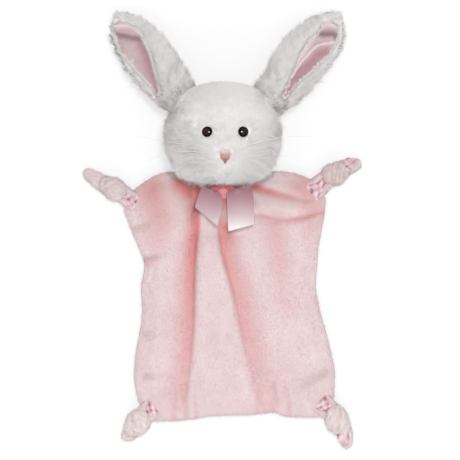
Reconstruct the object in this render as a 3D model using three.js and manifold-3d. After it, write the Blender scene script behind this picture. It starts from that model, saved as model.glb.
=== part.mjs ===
// A comfort blanket lovey: a stuffed rabbit head on a small two-layer blanket whose
// four corners are tied in knots, with a satin ribbon bow at the neck.
// It lies on its back. X points to the right of the face as seen from above, Y points
// to the ears, Z points up. The origin is on the resting plane, under the chin.
// Left and right are as seen from above. All sizes are in millimetres.
import * as THREE from "three";
import { mergeVertices } from "three/addons/utils/BufferGeometryUtils.js";
import Module from "manifold-3d";

const wasm = await Module();
wasm.setup();

// Clearances
const seamGap = 0.3;
const floorCut = 0.5;

// Head
const headWidth = 97;
const headHeight = 81.6;
const headDepth = 72;
const headShift = 0.8;
const skinThickness = 2.2;
const muzzleRise = 6;
const muzzleWidth = 44;
const muzzleHeight = 34;
const muzzleDrop = 19;
const faceShift = 1.8;
const crownPowerShare = 2.1;
const cheekPowerShare = 2.6;
const depthPowerShare = 2.3;
const headRings = 14;
const headSpokes = 26;

// Eyes, nose, mouth and whiskers
const eyeDiameter = 8.2;
const eyeHeight = 3.4;
const eyeSpacing = 28.2;
const eyeDrop = 1;
const shankDiameter = 2.6;
const shankLength = 8;
const washerDiameter = 11;
const washerThickness = 1.2;
const noseWidth = 8.6;
const noseHeight = 8.4;
const noseRise = 2;
const noseDrop = 15;
const mouthWidth = 1.4;
const mouthLength = 4.4;
const whiskerDiameter = 0.6;
const whiskerClearance = 2.4;

// Ears
const earLength = 90;
const earOuterWidth = 24;
const earInnerWidth = 19.5;
const earThickness = 12;
const earCupDepth = 3.6;
const earClearance = 0.45;
const liningThickness = 1.2;
const leftEarAngle = 34.7;
const rightEarAngle = 37.5;
const leftEarOffset = 5.6;
const rightEarOffset = 6.6;

// Neck and ribbon
const neckDiameter = 18;
const neckLength = 10;
const neckClearance = 2;
const ribbonThickness = 0.8;
const bandWidth = 6.5;
const bowKnotWidth = 10;
const bowKnotLength = 9;
const bowKnotHeight = 5;
const ribbonWidth = 19;

// Blanket
const blanketWidth = 168;
const blanketLength = 196;
const blanketShift = 4.2;
const blanketOverlap = 9;
const satinThickness = 1.2;
const edgeHeight = 3.4;
const puffHeight = 7.2;
const puffReach = 16;
const gatherReach = 30;
const gatherSpread = 54;
const pleatDepth = 0.9;
const pleatCount = 11;
const gridAcross = 26;
const gridAlong = 30;

// Tied corners
const throatHeight = 6;
const knotReach = 13.6;
const knotLength = 17;
const knotWidth = 22;
const knotHeight = 15;
const knotGroove = 1.2;
const tipWidth = 12;
const tipHeight = 8;
const tipReach = 40;

// Colours from the cloth, thread and plastic
const plushWhite = cloth(0xe9e4e4, 0.95);
const plushPink = cloth(0xecd6d8, 0.95);
const satinPink = cloth(0xdcb4bc, 0.4);
const ribbonPink = cloth(0xe8d0d4, 0.35);
const stuffingWhite = cloth(0xf2f0ec, 1);
const eyeBlack = new THREE.MeshStandardMaterial({ color: 0x120b0a, roughness: 0.12 });
const washerWhite = new THREE.MeshStandardMaterial({ color: 0xd8d8d4, roughness: 0.5 });
const threadPink = cloth(0xd9a0a2, 0.55);
const filamentWhite = new THREE.MeshStandardMaterial({ color: 0xf0f0f0, roughness: 0.3 });

// Places that follow from the sizes above
const floorLevel = 0;
const headCentre = new THREE.Vector3(headShift, headHeight / 2, headDepth / 2 - floorCut);
const faceX = headShift + faceShift;
const neckRadius = neckDiameter / 2;
const bandInner = neckRadius + seamGap;
const bandOuter = bandInner + ribbonThickness;
const neckZ = puffHeight + seamGap + neckClearance + bandOuter;
const bandY = bandWidth / 2 + seamGap - neckLength;
const bowCentre = new THREE.Vector3(headShift, bandY - bowKnotLength / 4,
  neckZ + bandOuter + seamGap + bowKnotHeight / 3);
const frontBase = satinThickness + seamGap;

const lovey = new THREE.Group();

function cloth(color, roughness) {
  return new THREE.MeshStandardMaterial({ color, roughness, metalness: 0 });
}

function addMesh(parent, name, geometry, material) {
  const mesh = new THREE.Mesh(geometry, material);
  mesh.name = name;
  parent.add(mesh);
  return mesh;
}

// A closed geometry becomes a solid that can be cut, and back
function toSolid(geometry) {
  const bare = geometry.clone();
  bare.deleteAttribute("normal");
  bare.deleteAttribute("uv");
  const merged = mergeVertices(bare, 1e-5);
  const vertProperties = new Float32Array(merged.attributes.position.array);
  const triVerts = new Uint32Array(merged.index.array);
  return new wasm.Manifold(new wasm.Mesh({ numProp: 3, vertProperties, triVerts }));
}

function toGeometry(solid) {
  const mesh = solid.getMesh();
  const geometry = new THREE.BufferGeometry();
  geometry.setAttribute("position", new THREE.BufferAttribute(new Float32Array(mesh.vertProperties), 3));
  geometry.setIndex(new THREE.BufferAttribute(new Uint32Array(mesh.triVerts), 1));
  return geometry;
}

// Skins a row of rings; a ring of one point closes an end in a tip, others get a flat cap
function loft(rings) {
  const points = [];
  const faces = [];
  const starts = rings.map((ring) => {
    points.push(...ring);
    return points.length - ring.length;
  });
  for (let i = 0; i + 1 < rings.length; i += 1) {
    const count = Math.max(rings[i].length, rings[i + 1].length);
    for (let k = 0; k < count; k += 1) {
      const next = (k + 1) % count;
      const [a, b] = rings[i].length > 1 ? [starts[i] + k, starts[i] + next] : [starts[i], starts[i]];
      const [c, d] = rings[i + 1].length > 1
        ? [starts[i + 1] + k, starts[i + 1] + next] : [starts[i + 1], starts[i + 1]];
      if (a !== b) faces.push([a, b, d]);
      if (c !== d) faces.push([a, d, c]);
    }
  }
  capRing(points, faces, rings[0], starts[0], true);
  capRing(points, faces, rings.at(-1), starts.at(-1), false);
  return closedGeometry(points, faces);
}

function capRing(points, faces, ring, start, first) {
  if (ring.length === 1) return;
  const centre = ring.reduce((sum, p) => sum.add(p), new THREE.Vector3()).divideScalar(ring.length);
  points.push(centre);
  ring.forEach((_, k) => {
    const [a, b] = [start + k, start + (k + 1) % ring.length];
    faces.push(first ? [points.length - 1, b, a] : [points.length - 1, a, b]);
  });
}

function closedGeometry(points, faces) {
  const volume = faces.reduce((sum, [a, b, c]) =>
    sum + points[a].dot(new THREE.Vector3().crossVectors(points[b], points[c])), 0);
  const index = faces.flatMap(([a, b, c]) => (volume > 0 ? [a, b, c] : [a, c, b]));
  const geometry = new THREE.BufferGeometry();
  geometry.setAttribute("position", new THREE.Float32BufferAttribute(points.flatMap((p) => p.toArray()), 3));
  geometry.setIndex(index);
  return geometry;
}

function ellipseRing(count, place) {
  return Array.from({ length: count }, (_, k) => {
    const turn = (k / count) * 2 * Math.PI;
    return place(Math.cos(turn), Math.sin(turn));
  });
}

// Interpolates a row of [share, value] pairs
function along(rows, share, column = 1) {
  const found = rows.findIndex((row) => row[0] >= share);
  const i = found < 0 ? rows.length - 1 : Math.max(1, found);
  const [low, high] = [rows[i - 1], rows[i]];
  const mix = THREE.MathUtils.clamp((share - low[0]) / (high[0] - low[0]), 0, 1);
  return low[column] + (high[column] - low[column]) * mix;
}

// The space on one side of a plane, as a box that reaches past the whole part
const overrun = 2 * (headHeight + earLength + blanketLength + tipReach);

function halfSpace(x, y, z) {
  const box = new THREE.BoxGeometry(overrun, overrun, overrun);
  const side = (value) => (value === null ? 0 : value.at + value.sign * overrun / 2);
  return toSolid(box.translate(side(x), side(y), side(z)));
}

const aboveFloor = halfSpace(null, null, { at: floorLevel, sign: 1 });

// Head form: widths and depths swell from the crown to the cheeks and taper to the chin
function headSection(y, grow) {
  const share = Math.min(1, Math.abs(y) / (headHeight / 2 + grow));
  const power = y < 0 ? cheekPowerShare : crownPowerShare;
  return {
    width: (headWidth / 2 + grow) * (1 - share ** power) ** (1 / power),
    depth: (headDepth / 2 + grow) * (1 - share ** depthPowerShare) ** (1 / depthPowerShare),
  };
}

function muzzle(x, y) {
  const across = (x - faceShift) / (muzzleWidth / 2);
  const down = (y + muzzleDrop) / (muzzleHeight / 2);
  return muzzleRise * Math.exp(-(across ** 2) - down ** 2);
}

function headSolid(grow) {
  const rings = [];
  for (let j = 0; j <= headRings; j += 1) {
    const y = (headHeight / 2 + grow) * Math.sin(Math.PI * (j / headRings - 1 / 2));
    const { width, depth } = headSection(y, grow);
    const ring = ellipseRing(headSpokes, (c, s) =>
      new THREE.Vector3(width * c, y, depth * s + Math.max(0, s) * muzzle(width * c, y)).add(headCentre));
    rings.push(j % headRings === 0 ? [new THREE.Vector3(0, y, 0).add(headCentre)] : ring);
  }
  return toSolid(loft(rings));
}

// The point on the front of the head over a place given from the head centre
function facePoint(x, y, grow) {
  const { width, depth } = headSection(y, grow);
  const round = Math.sqrt(Math.max(0, 1 - (x / width) ** 2));
  return new THREE.Vector3(x, y, depth * round + round * muzzle(x, y)).add(headCentre);
}

function faceNormal(x, y) {
  const step = seamGap;
  const right = facePoint(x + step, y, 0).sub(facePoint(x - step, y, 0));
  const up = facePoint(x, y + step, 0).sub(facePoint(x, y - step, 0));
  return right.cross(up).normalize();
}

// An outline in X and Y, given from the head centre, raised into a block over the face
function faceBlock(outline, grow) {
  const centre = outline.reduce((sum, p) => sum.add(p), new THREE.Vector2()).divideScalar(outline.length);
  const grown = outline.map((p) => {
    const away = p.clone().sub(centre);
    return p.clone().add(away.normalize().multiplyScalar(grow));
  });
  const block = new THREE.ExtrudeGeometry(new THREE.Shape(grown), { depth: headDepth, bevelEnabled: false });
  return toSolid(block.translate(headCentre.x, headCentre.y, headCentre.z));
}

// Forehead seam, as shares of half the head's width and height from the head centre
const foreheadShares = [[-0.5, 1.05], [-0.62, 0.6], [-0.6, 0.3], [-0.33, 0.09], [0.04, 0],
  [0.41, 0.09], [0.65, 0.34], [0.66, 0.62], [0.54, 1.05]];

function buildHead(parent) {
  const outer = headSolid(0).intersect(aboveFloor);
  const shell = outer.subtract(headSolid(-skinThickness));
  const front = halfSpace(null, null, { at: headCentre.z + seamGap / 2, sign: 1 });
  const back = halfSpace(null, null, { at: headCentre.z - seamGap / 2, sign: -1 });
  const left = halfSpace({ at: faceX - seamGap / 2, sign: -1 }, null, null);
  const right = halfSpace({ at: faceX + seamGap / 2, sign: 1 }, null, null);
  const outline = foreheadShares.map(([x, y]) => new THREE.Vector2(x * headWidth / 2, y * headHeight / 2));
  const cheeks = shell.intersect(front).subtract(faceBlock(outline, seamGap));
  const stuffing = headSolid(-skinThickness - seamGap);
  const eyes = [-1, 1].map((side) => buildEye(parent, side));
  const eyeSpace = eyes[0].add(eyes[1]);
  const panels = {
    head_forehead: shell.intersect(front).intersect(faceBlock(outline, 0)),
    head_cheek_left: cheeks.intersect(left).subtract(eyeSpace),
    head_cheek_right: cheeks.intersect(right).subtract(eyeSpace),
    head_back_left: shell.intersect(back).intersect(left),
    head_back_right: shell.intersect(back).intersect(right),
  };
  for (const [name, panel] of Object.entries(panels)) addMesh(parent, name, toGeometry(panel), plushWhite);
  addMesh(parent, "head_stuffing", toGeometry(stuffing.subtract(eyeSpace)), stuffingWhite);
  addFace(parent);
}

function lathe(profile, segments) {
  return new THREE.LatheGeometry(profile.map(([r, y]) => new THREE.Vector2(r, y)), segments);
}

// A domed eye on a shank, held behind the cloth by a washer; returns the space they need
function buildEye(parent, side) {
  const sideName = side < 0 ? "left" : "right";
  const x = faceShift + side * eyeSpacing / 2;
  const normal = faceNormal(x, -eyeDrop);
  const turn = new THREE.Quaternion().setFromUnitVectors(new THREE.Vector3(0, 1, 0), normal);
  const seat = facePoint(x, -eyeDrop, 0).addScaledVector(normal, seamGap);
  const [domeRadius, shankRadius] = [eyeDiameter / 2, shankDiameter / 2];
  const dome = [[0, eyeHeight], [domeRadius / 2, eyeHeight * 0.86], [domeRadius * 0.86, eyeHeight / 2],
    [domeRadius, seamGap], [domeRadius, 0], [shankRadius, 0], [shankRadius, -shankLength],
    [0, -shankLength]];
  const eye = addMesh(parent, `eye_${sideName}`, lathe(dome.reverse(), 16), eyeBlack);
  const top = -(seamGap + skinThickness + 2 * seamGap);
  const bore = shankRadius + seamGap;
  const ring = [[bore, top - washerThickness], [washerDiameter / 2, top - washerThickness],
    [washerDiameter / 2, top], [bore, top], [bore, top - washerThickness]];
  const washer = addMesh(parent, `eye_washer_${sideName}`, lathe(ring, 16), washerWhite);
  for (const mesh of [eye, washer]) {
    mesh.position.copy(seat);
    mesh.quaternion.copy(turn);
  }
  const washerSpace = washerDiameter / 2 + seamGap;
  const washerSeat = top + 3 * seamGap;
  const space = [[0, -shankLength - seamGap], [bore, -shankLength - seamGap],
    [bore, top - washerThickness - seamGap], [washerSpace, top - washerThickness - seamGap],
    [washerSpace, washerSeat], [bore, washerSeat], [bore, seamGap], [0, seamGap]];
  const matrix = new THREE.Matrix4().compose(seat, turn, new THREE.Vector3(1, 1, 1));
  return toSolid(lathe(space, 16).applyMatrix4(matrix));
}

// Nose outline as shares of its own width and height
const noseShares = [[-0.5, 1], [-0.3, 1.06], [0.3, 1.06], [0.5, 1], [0.5, 0.78], [0.2, 0.1], [0, 0],
  [-0.2, 0.1], [-0.5, 0.78]];

// Whisker roots and tips as shares of half the head's width and height, and the tip's level
// as a share of half its depth, all from the head centre, for the right side
const whiskerShares = [
  { root: [0.34, -0.3], tip: [1.45, -0.1], level: 0.5 },
  { root: [0.36, -0.42], tip: [1.34, -0.62], level: 0.42 },
  { root: [0.3, -0.52], tip: [1.02, -0.98], level: 0.42 },
];

function addFace(parent) {
  const skin = headSolid(seamGap);
  const noseY = -noseDrop - noseHeight;
  const nose = faceBlock(noseShares.map(([x, y]) =>
    new THREE.Vector2(faceShift + x * noseWidth, noseY + y * noseHeight)), 0);
  addMesh(parent, "nose", toGeometry(headSolid(noseRise).intersect(nose).subtract(skin)), threadPink);
  const mouthTop = noseY - seamGap;
  const [mouthLeft, mouthRight] = [faceShift - mouthWidth / 2, faceShift + mouthWidth / 2];
  const mouthLow = mouthTop - mouthLength;
  const corners = [[mouthLeft, mouthTop], [mouthLeft, mouthLow],
    [mouthRight, mouthLow], [mouthRight, mouthTop]];
  const mouth = headSolid(noseRise / 2).subtract(skin)
    .intersect(faceBlock(corners.map(([x, y]) => new THREE.Vector2(x, y)), 0));
  addMesh(parent, "mouth_stitch", toGeometry(mouth), threadPink);
  for (const side of [-1, 1]) {
    const sideName = side < 0 ? "left" : "right";
    whiskerShares.forEach((share, i) => {
      const free = toSolid(whisker(side, share)).subtract(skin);
      addMesh(parent, `whisker_${sideName}_${i + 1}`, toGeometry(free), filamentWhite);
    });
  }
}

// A stiff filament that leaves the muzzle and runs out past the cheek
function whisker(side, { root, tip, level }) {
  const place = ([x, y]) => new THREE.Vector2(faceShift + side * x * headWidth / 2, y * headHeight / 2);
  const [from, to] = [place(root), place(tip)];
  const start = facePoint(from.x, from.y, -skinThickness);
  const end = new THREE.Vector3(to.x, to.y, level * headDepth / 2).add(headCentre);
  const lift = skinThickness + 2 * whiskerClearance;
  const points = [start, start.clone().addScaledVector(faceNormal(from.x, from.y), lift)];
  for (const share of [0.3, 0.5, 0.75]) {
    const flat = from.clone().lerp(to, share);
    const skin = facePoint(flat.x, flat.y, 0).z + whiskerClearance;
    points.push(new THREE.Vector3(flat.x + headCentre.x, flat.y + headCentre.y,
      Math.max(skin, start.z + (end.z - start.z) * share ** 2)));
  }
  const path = new THREE.CatmullRomCurve3([...points, end]);
  const section = new THREE.Shape(ellipseRing(5, (c, s) =>
    new THREE.Vector2(c, s).multiplyScalar(whiskerDiameter / 2)));
  return new THREE.ExtrudeGeometry(section, { steps: 10, bevelEnabled: false, extrudePath: path });
}

// Ear outline: share of the length, then shares of the outer and inner widths and the thickness
const earShares = [[-0.2, 0.62, 0.9, 0.9], [0, 0.78, 0.95, 1], [0.12, 0.9, 1, 1], [0.25, 0.97, 1.03, 0.95],
  [0.4, 1, 1.02, 0.9], [0.55, 1, 1, 0.85], [0.68, 0.94, 0.88, 0.8], [0.8, 0.82, 0.68, 0.72],
  [0.9, 0.64, 0.42, 0.66], [0.97, 0.36, 0.12, 0.58], [1, 0.16, -0.06, 0.45]];

// Lining outline: share of the length, then where its two edges lie, in shares of the outer width
const liningShares = [[0.1, 0.58, 0.54], [0.2, 0.62, 0.42], [0.32, 0.68, 0.24], [0.45, 0.74, 0.1],
  [0.58, 0.77, 0.01], [0.7, 0.76, -0.05], [0.8, 0.67, 0.02], [0.87, 0.54, 0.12], [0.9, 0.46, 0.38]];
const earStations = [-0.2, 0, ...liningShares.map(([share]) => share), 0.95, 0.98, 1];
const flatStations = [0.08, 0.2, 0.34, 0.45, 0.55, 0.66, 0.8, 0.92];

// Cross-section of the ear: from the outer edge under the ear, then back over its face
function earRing(share, mirror) {
  const outer = earOuterWidth * along(earShares, share, 1);
  const inner = earInnerWidth * along(earShares, share, 2);
  const thick = earThickness * along(earShares, share, 3);
  const half = (inner + outer) / 2;
  const under = Array.from({ length: 7 }, (_, k) => {
    const turn = Math.PI * (1 + k / 6);
    return [inner - half + half * Math.cos(turn), -thick / 2 + (thick / 2) * Math.sin(turn)];
  });
  const lined = share >= liningShares[0][0] && share <= liningShares.at(-1)[0];
  const over = lined ? cupProfile(share, outer, inner, thick)
    : flatStations.map((at) => [inner - 2 * half * at, -0.2 * thick * (2 * at - 1) ** 4]);
  return [...under, ...over].map(([x, z]) => new THREE.Vector3(mirror * x, share * earLength, z));
}

// The face of the ear with the cup that the lining lies in, between two soft rims
function cupProfile(share, outer, inner, thick) {
  const low = -earOuterWidth * along(liningShares, share, 1) - seamGap;
  const high = -earOuterWidth * along(liningShares, share, 2) + seamGap;
  const rim = 0.1 * thick;
  return [[inner - rim, -rim], [(high + inner) / 2, 0], [high + rim, -rim / 2], [high, -earCupDepth],
    [(low + high) / 2, -1.05 * earCupDepth], [low, -earCupDepth], [low - rim, -rim],
    [(low - rim - outer) / 2, -2 * rim]];
}

// The lining lies in the cup, a clearance above its floor
function liningRing(share, mirror) {
  const low = -earOuterWidth * along(liningShares, share, 1) + seamGap;
  const high = Math.max(-earOuterWidth * along(liningShares, share, 2) - seamGap, low + seamGap);
  const floor = seamGap - earCupDepth;
  return [[low, floor], [high, floor], [high, floor + liningThickness], [low, floor + liningThickness]]
    .map(([x, z]) => new THREE.Vector3(mirror * x, share * earLength, z));
}

// An ear starts where a line square to it touches the head, and droops to the resting plane
function earFrame(side) {
  const angle = THREE.MathUtils.degToRad(side < 0 ? leftEarAngle : rightEarAngle);
  const away = new THREE.Vector3(side * Math.sin(angle), Math.cos(angle), 0);
  const across = new THREE.Vector3(away.y, -away.x, 0);
  const [halfWidth, halfHeight] = [headWidth / 2, headHeight / 2];
  const reach = Math.hypot(away.x * halfWidth, away.y * halfHeight);
  const contact = new THREE.Vector3(away.x * halfWidth ** 2, away.y * halfHeight ** 2, 0)
    .divideScalar(reach);
  const offset = side * (side < 0 ? leftEarOffset : rightEarOffset);
  const base = headCentre.clone().add(contact).addScaledVector(away, earClearance)
    .addScaledVector(across, offset);
  const tipDepth = earThickness * earShares.at(-1)[3];
  const droop = Math.asin((headCentre.z - tipDepth - floorCut) / earLength);
  const lengthwise = away.clone().multiplyScalar(Math.cos(droop)).setZ(-Math.sin(droop));
  const up = new THREE.Vector3().crossVectors(across, lengthwise);
  return new THREE.Matrix4().makeBasis(across, lengthwise, up).setPosition(base);
}

function buildEar(parent, side) {
  const sideName = side < 0 ? "left" : "right";
  const frame = earFrame(side);
  const group = new THREE.Group();
  frame.decompose(group.position, group.quaternion, group.scale);
  const head = headSolid(earClearance).transform(frame.clone().invert().elements);
  const belowHinge = halfSpace(null, null, { at: 0, sign: -1 });
  const pad = toSolid(loft(earStations.map((share) => earRing(share, -side))));
  const plush = pad.subtract(head).intersect(belowHinge);
  const lining = loft(liningShares.map(([share]) => liningRing(share, -side)));
  addMesh(group, `ear_${sideName}_plush`, toGeometry(plush), plushWhite);
  addMesh(group, `ear_${sideName}_lining`, lining, satinPink);
  parent.add(group);
}

// Neck: a round stuffed plug under the chin with the ribbon band round it
function buildNeck(parent) {
  const round = neckRadius / 4;
  const end = headHeight / 4;
  const plugProfile = [[0, -neckLength], [neckRadius - round, -neckLength], [neckRadius, round - neckLength],
    [neckRadius, end], [0, end]];
  const plug = toSolid(lathe(plugProfile, 24).translate(headCentre.x, 0, neckZ));
  addMesh(parent, "neck_plug", toGeometry(plug.subtract(headSolid(seamGap))), plushWhite);
  const bandEnd = bandWidth / 2;
  const band = addMesh(parent, "neck_ribbon", lathe([[bandInner, -bandEnd], [bandOuter, -bandEnd],
    [bandOuter, bandEnd], [bandInner, bandEnd], [bandInner, -bandEnd]], 24), ribbonPink);
  band.position.set(headCentre.x, bandY, neckZ);
}

// Bow tails, each row a section: outer edge x and y, inner edge x and y from the knot's middle
// in shares of the ribbon's width, and the level over the knot's middle in the same shares
const tailShares = {
  left: [[-0.33, 0.11, -0.18, -0.3, 0], [-0.67, 0.12, -0.12, -0.45, -0.02],
    [-1.01, -0.02, -0.05, -0.6, -0.1], [-1.15, -0.31, -0.08, -0.95, -0.2], [-1.2, -0.55, -0.25, -1.33, -0.3]],
  right: [[0.33, 0.11, 0.18, -0.3, 0], [0.69, 0.14, 0.2, -0.42, -0.02], [1.22, -0.02, 0.18, -0.6, -0.1],
    [1.23, -0.68, 0.2, -1.04, -0.26], [1.22, -1.29, 0.23, -1.58, -0.46]],
};

function buildBow(parent) {
  const knot = new THREE.SphereGeometry(1, 16, 10)
    .scale(bowKnotWidth / 2, bowKnotLength / 2, bowKnotHeight / 2);
  const core = lathe([[0, -bowKnotLength], [bandOuter + seamGap, -bowKnotLength],
    [bandOuter + seamGap, bowKnotLength], [0, bowKnotLength]], 24).translate(headCentre.x, bandY, neckZ);
  const round = toSolid(knot.translate(...bowCentre)).subtract(toSolid(core));
  addMesh(parent, "bow_knot", toGeometry(round), ribbonPink);
  for (const side of ["left", "right"]) {
    const tail = addMesh(parent, `bow_tail_${side}`, loft(tailShares[side].map(tailRing)), ribbonPink);
    tail.position.copy(bowCentre);
  }
}

function tailRing([outerX, outerY, innerX, innerY, level]) {
  const [low, high] = [level * ribbonWidth, level * ribbonWidth + ribbonThickness];
  const place = (x, y, z) => new THREE.Vector3(x * ribbonWidth, y * ribbonWidth, z);
  return [place(outerX, outerY, low), place(innerX, innerY, low),
    place(innerX, innerY, high), place(outerX, outerY, high)];
}

// Blanket outline from the neck's middle line and the top edge: shares of half the width and
// of the length, going round from the top left corner
const topShares = [[-0.898, 0.081], [-0.84, 0.062], [-0.764, 0.038], [-0.66, 0.015], [-0.526, 0.003],
  [-0.26, 0], [0.217, 0], [0.388, 0], [0.588, 0.005], [0.693, 0.017], [0.788, 0.032]];
const rightShares = [[0.931, 0.111], [0.92, 0.17], [0.898, 0.226], [0.864, 0.307], [0.845, 0.401],
  [0.839, 0.483], [0.874, 0.564], [0.94, 0.666], [0.988, 0.748], [1.017, 0.817], [1.012, 0.915]];
const bottomShares = [[0.864, 1], [0.674, 1], [0.54, 0.995], [0.455, 0.98], [0.331, 0.985], [0.169, 0.991],
  [-0.05, 0.993], [-0.221, 0.999], [-0.402, 1.011], [-0.679, 1.017]];
const leftShares = [[-0.833, 0.937], [-0.864, 0.891], [-0.879, 0.83], [-0.864, 0.74], [-0.826, 0.654],
  [-0.802, 0.572], [-0.812, 0.474], [-0.78, 0.385], [-0.826, 0.319], [-0.888, 0.258], [-0.978, 0.158]];

// Main folds as paths in the same shares, with the rise and reach in shares of the puff
const foldShares = [
  { path: [[-0.35, 0.15], [-0.364, 0.34], [-0.383, 0.556], [-0.488, 0.9]], rise: -0.5, reach: 0.42 },
  { path: [[-0.02, 0.25], [0.041, 0.359], [0.179, 0.619], [0.293, 0.95]], rise: -0.36, reach: 0.55 },
  { path: [[-0.17, 0.25], [-0.1, 0.619], [-0.06, 0.9]], rise: 0.4, reach: 0.9 },
  { path: [[0.388, 0.164], [0.498, 0.424], [0.588, 0.619]], rise: -0.22, reach: 0.5 },
  { path: [[0.24, 0.25], [0.36, 0.55], [0.47, 0.85]], rise: 0.3, reach: 0.7 },
  { path: [[0.3, 0.185], [0.617, 0.193], [0.874, 0.16]], rise: -0.4, reach: 0.36 },
  { path: [[0.36, 0.11], [0.6, 0.13], [0.75, 0.125]], rise: 0.45, reach: 0.5 },
  { path: [[-0.888, 0.221], [-0.669, 0.164], [-0.5, 0.12]], rise: -0.3, reach: 0.4 },
  { path: [[-0.8, 0.348], [-0.64, 0.336]], rise: -0.4, reach: 0.4 },
  { path: [[-0.83, 0.67], [-0.669, 0.658]], rise: -0.3, reach: 0.4 },
  { path: [[0.96, 0.817], [0.683, 0.907]], rise: -0.35, reach: 0.4 },
];

function blanketPoint([across, down]) {
  return new THREE.Vector2(blanketShift + across * blanketWidth / 2, blanketOverlap - down * blanketLength);
}

// The middle of the throat where one side of the outline ends and the next begins
function throatBetween(endShares, startShares) {
  const [from, to] = [blanketPoint(endShares.at(-1)), blanketPoint(startShares[0])];
  const middle = from.clone().add(to).divideScalar(2);
  const width = from.distanceTo(to);
  const outward = new THREE.Vector2(from.y - to.y, to.x - from.x).normalize();
  return { middle, width, outward, dent: middle.clone().addScaledVector(outward, -seamGap) };
}

const throats = {
  top_left: throatBetween(leftShares, topShares),
  top_right: throatBetween(topShares, rightShares),
  bottom_right: throatBetween(rightShares, bottomShares),
  bottom_left: throatBetween(bottomShares, leftShares),
};

// One side of the sheet: a throat's dented middle, evenly spaced places, the next throat
function sidePoints(shares, from, to, count) {
  const spline = new THREE.SplineCurve(shares.map(blanketPoint));
  return [from.dent, ...spline.getSpacedPoints(count - 2), to.dent];
}

// The sheet as rows of places between its four sides
function blanketRows() {
  const top = sidePoints(topShares, throats.top_left, throats.top_right, gridAcross);
  const right = sidePoints(rightShares, throats.top_right, throats.bottom_right, gridAlong);
  const bottom = sidePoints(bottomShares, throats.bottom_right, throats.bottom_left, gridAcross).reverse();
  const left = sidePoints(leftShares, throats.bottom_left, throats.top_left, gridAlong).reverse();
  return left.map((_, j) => top.map((__, i) => {
    const [u, v] = [i / gridAcross, j / gridAlong];
    const between = top[0].clone().lerp(top.at(-1), u).lerp(bottom[0].clone().lerp(bottom.at(-1), u), v);
    return top[i].clone().lerp(bottom[i], v).add(left[j].clone().lerp(right[j], u)).sub(between);
  }));
}

function rimOf(rows) {
  const last = gridAlong;
  return [...rows[0], ...rows.slice(1).map((row) => row[gridAcross]),
    ...rows[last].slice(0, gridAcross).reverse(), ...rows.slice(1, last).map((row) => row[0]).reverse()];
}

function distanceToPath(point, path) {
  return Math.min(...path.slice(1).map((to, i) => {
    const from = path[i];
    const line = to.clone().sub(from);
    const share = THREE.MathUtils.clamp(point.clone().sub(from).dot(line) / line.lengthSq(), 0, 1);
    return point.distanceTo(from.clone().addScaledVector(line, share));
  }));
}

// Height of the plush face over the resting plane: a puffed sheet with the main folds
function clothHeight(point, rim) {
  const inset = THREE.MathUtils.smoothstep(distanceToPath(point, [...rim, rim[0]]), 0, puffReach);
  const folds = foldPaths.reduce((sum, { path, rise, reach }) =>
    sum + rise * puffHeight * Math.exp(-((distanceToPath(point, path) / (reach * puffReach)) ** 2)), 0);
  const height = edgeHeight + inset * (puffHeight - edgeHeight + folds);
  return Math.max(height, edgeHeight * 0.8);
}

const foldPaths = foldShares.map((fold) => ({ ...fold, path: fold.path.map(blanketPoint) }));

function buildBlanket(parent) {
  const rows = blanketRows();
  const rim = rimOf(rows);
  const back = new THREE.ExtrudeGeometry(new THREE.Shape(rim),
    { depth: satinThickness, bevelEnabled: false });
  addMesh(parent, "blanket_back", back, satinPink);
  const front = toSolid(frontSheet(rows, rim)).add(gathers()).intersect(
    halfSpace(null, null, { at: frontBase, sign: 1 }));
  addMesh(parent, "blanket_front", toGeometry(front), plushPink);
}

// The plush layer: a folded face over a flat underside
function frontSheet(rows, rim) {
  const places = rows.flat();
  const points = places.map((p) => new THREE.Vector3(p.x, p.y, clothHeight(p, rim)));
  const faces = [];
  const wide = gridAcross + 1;
  for (let j = 0; j < gridAlong; j += 1) {
    for (let i = 0; i < gridAcross; i += 1) {
      const a = j * wide + i;
      faces.push([a, a + wide, a + wide + 1], [a, a + wide + 1, a + 1]);
    }
  }
  const start = points.length;
  points.push(...rim.map((p) => new THREE.Vector3(p.x, p.y, frontBase)));
  const rimTop = rim.map((p) => places.indexOf(p));
  rim.forEach((_, k) => {
    const next = (k + 1) % rim.length;
    faces.push([start + next, start + k, rimTop[k]], [rimTop[next], start + next, rimTop[k]]);
  });
  for (const [a, b, c] of THREE.ShapeUtils.triangulateShape(rim, [])) {
    const upward = THREE.ShapeUtils.area([rim[a], rim[b], rim[c]]) > 0;
    faces.push(upward ? [start + a, start + c, start + b] : [start + a, start + b, start + c]);
  }
  return closedGeometry(points, faces);
}

// The pleats where the plush is drawn into the neck
function gathers() {
  const rings = Array.from({ length: 8 }, (_, k) => {
    const share = k / 7;
    const fall = THREE.MathUtils.smoothstep(share, 0, 1);
    const wide = neckRadius + (gatherSpread / 2 - neckRadius) * share ** 0.8;
    const tall = neckRadius + (edgeHeight / 2 - neckRadius) * fall;
    const level = neckZ + (edgeHeight - neckZ) * fall;
    return ellipseRing(4 * pleatCount, (c, s) => {
      const pleat = 1 - (pleatDepth / neckRadius) * Math.cos(pleatCount * Math.atan2(s, c)) ** 2;
      return new THREE.Vector3(headCentre.x + wide * c * pleat,
        -neckLength - seamGap - share * gatherReach, level + tall * s * pleat);
    });
  });
  return toSolid(loft(rings));
}

// Each tied corner: the reach and sideways shift of its knot in shares of the knot's reach and
// width, and the end of its tip, outward and sideways, in shares of the tip's reach
const cornerShares = {
  top_left: { reach: 1.02, shift: -0.18, tip: [1.06, -0.19] },
  top_right: { reach: 1.3, shift: 0.12, tip: [1.01, -0.115] },
  bottom_right: { reach: 0.96, shift: -0.04, tip: [0.855, -0.4] },
  bottom_left: { reach: 0.84, shift: 0.06, tip: [0.735, 0.135] },
};

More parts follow.
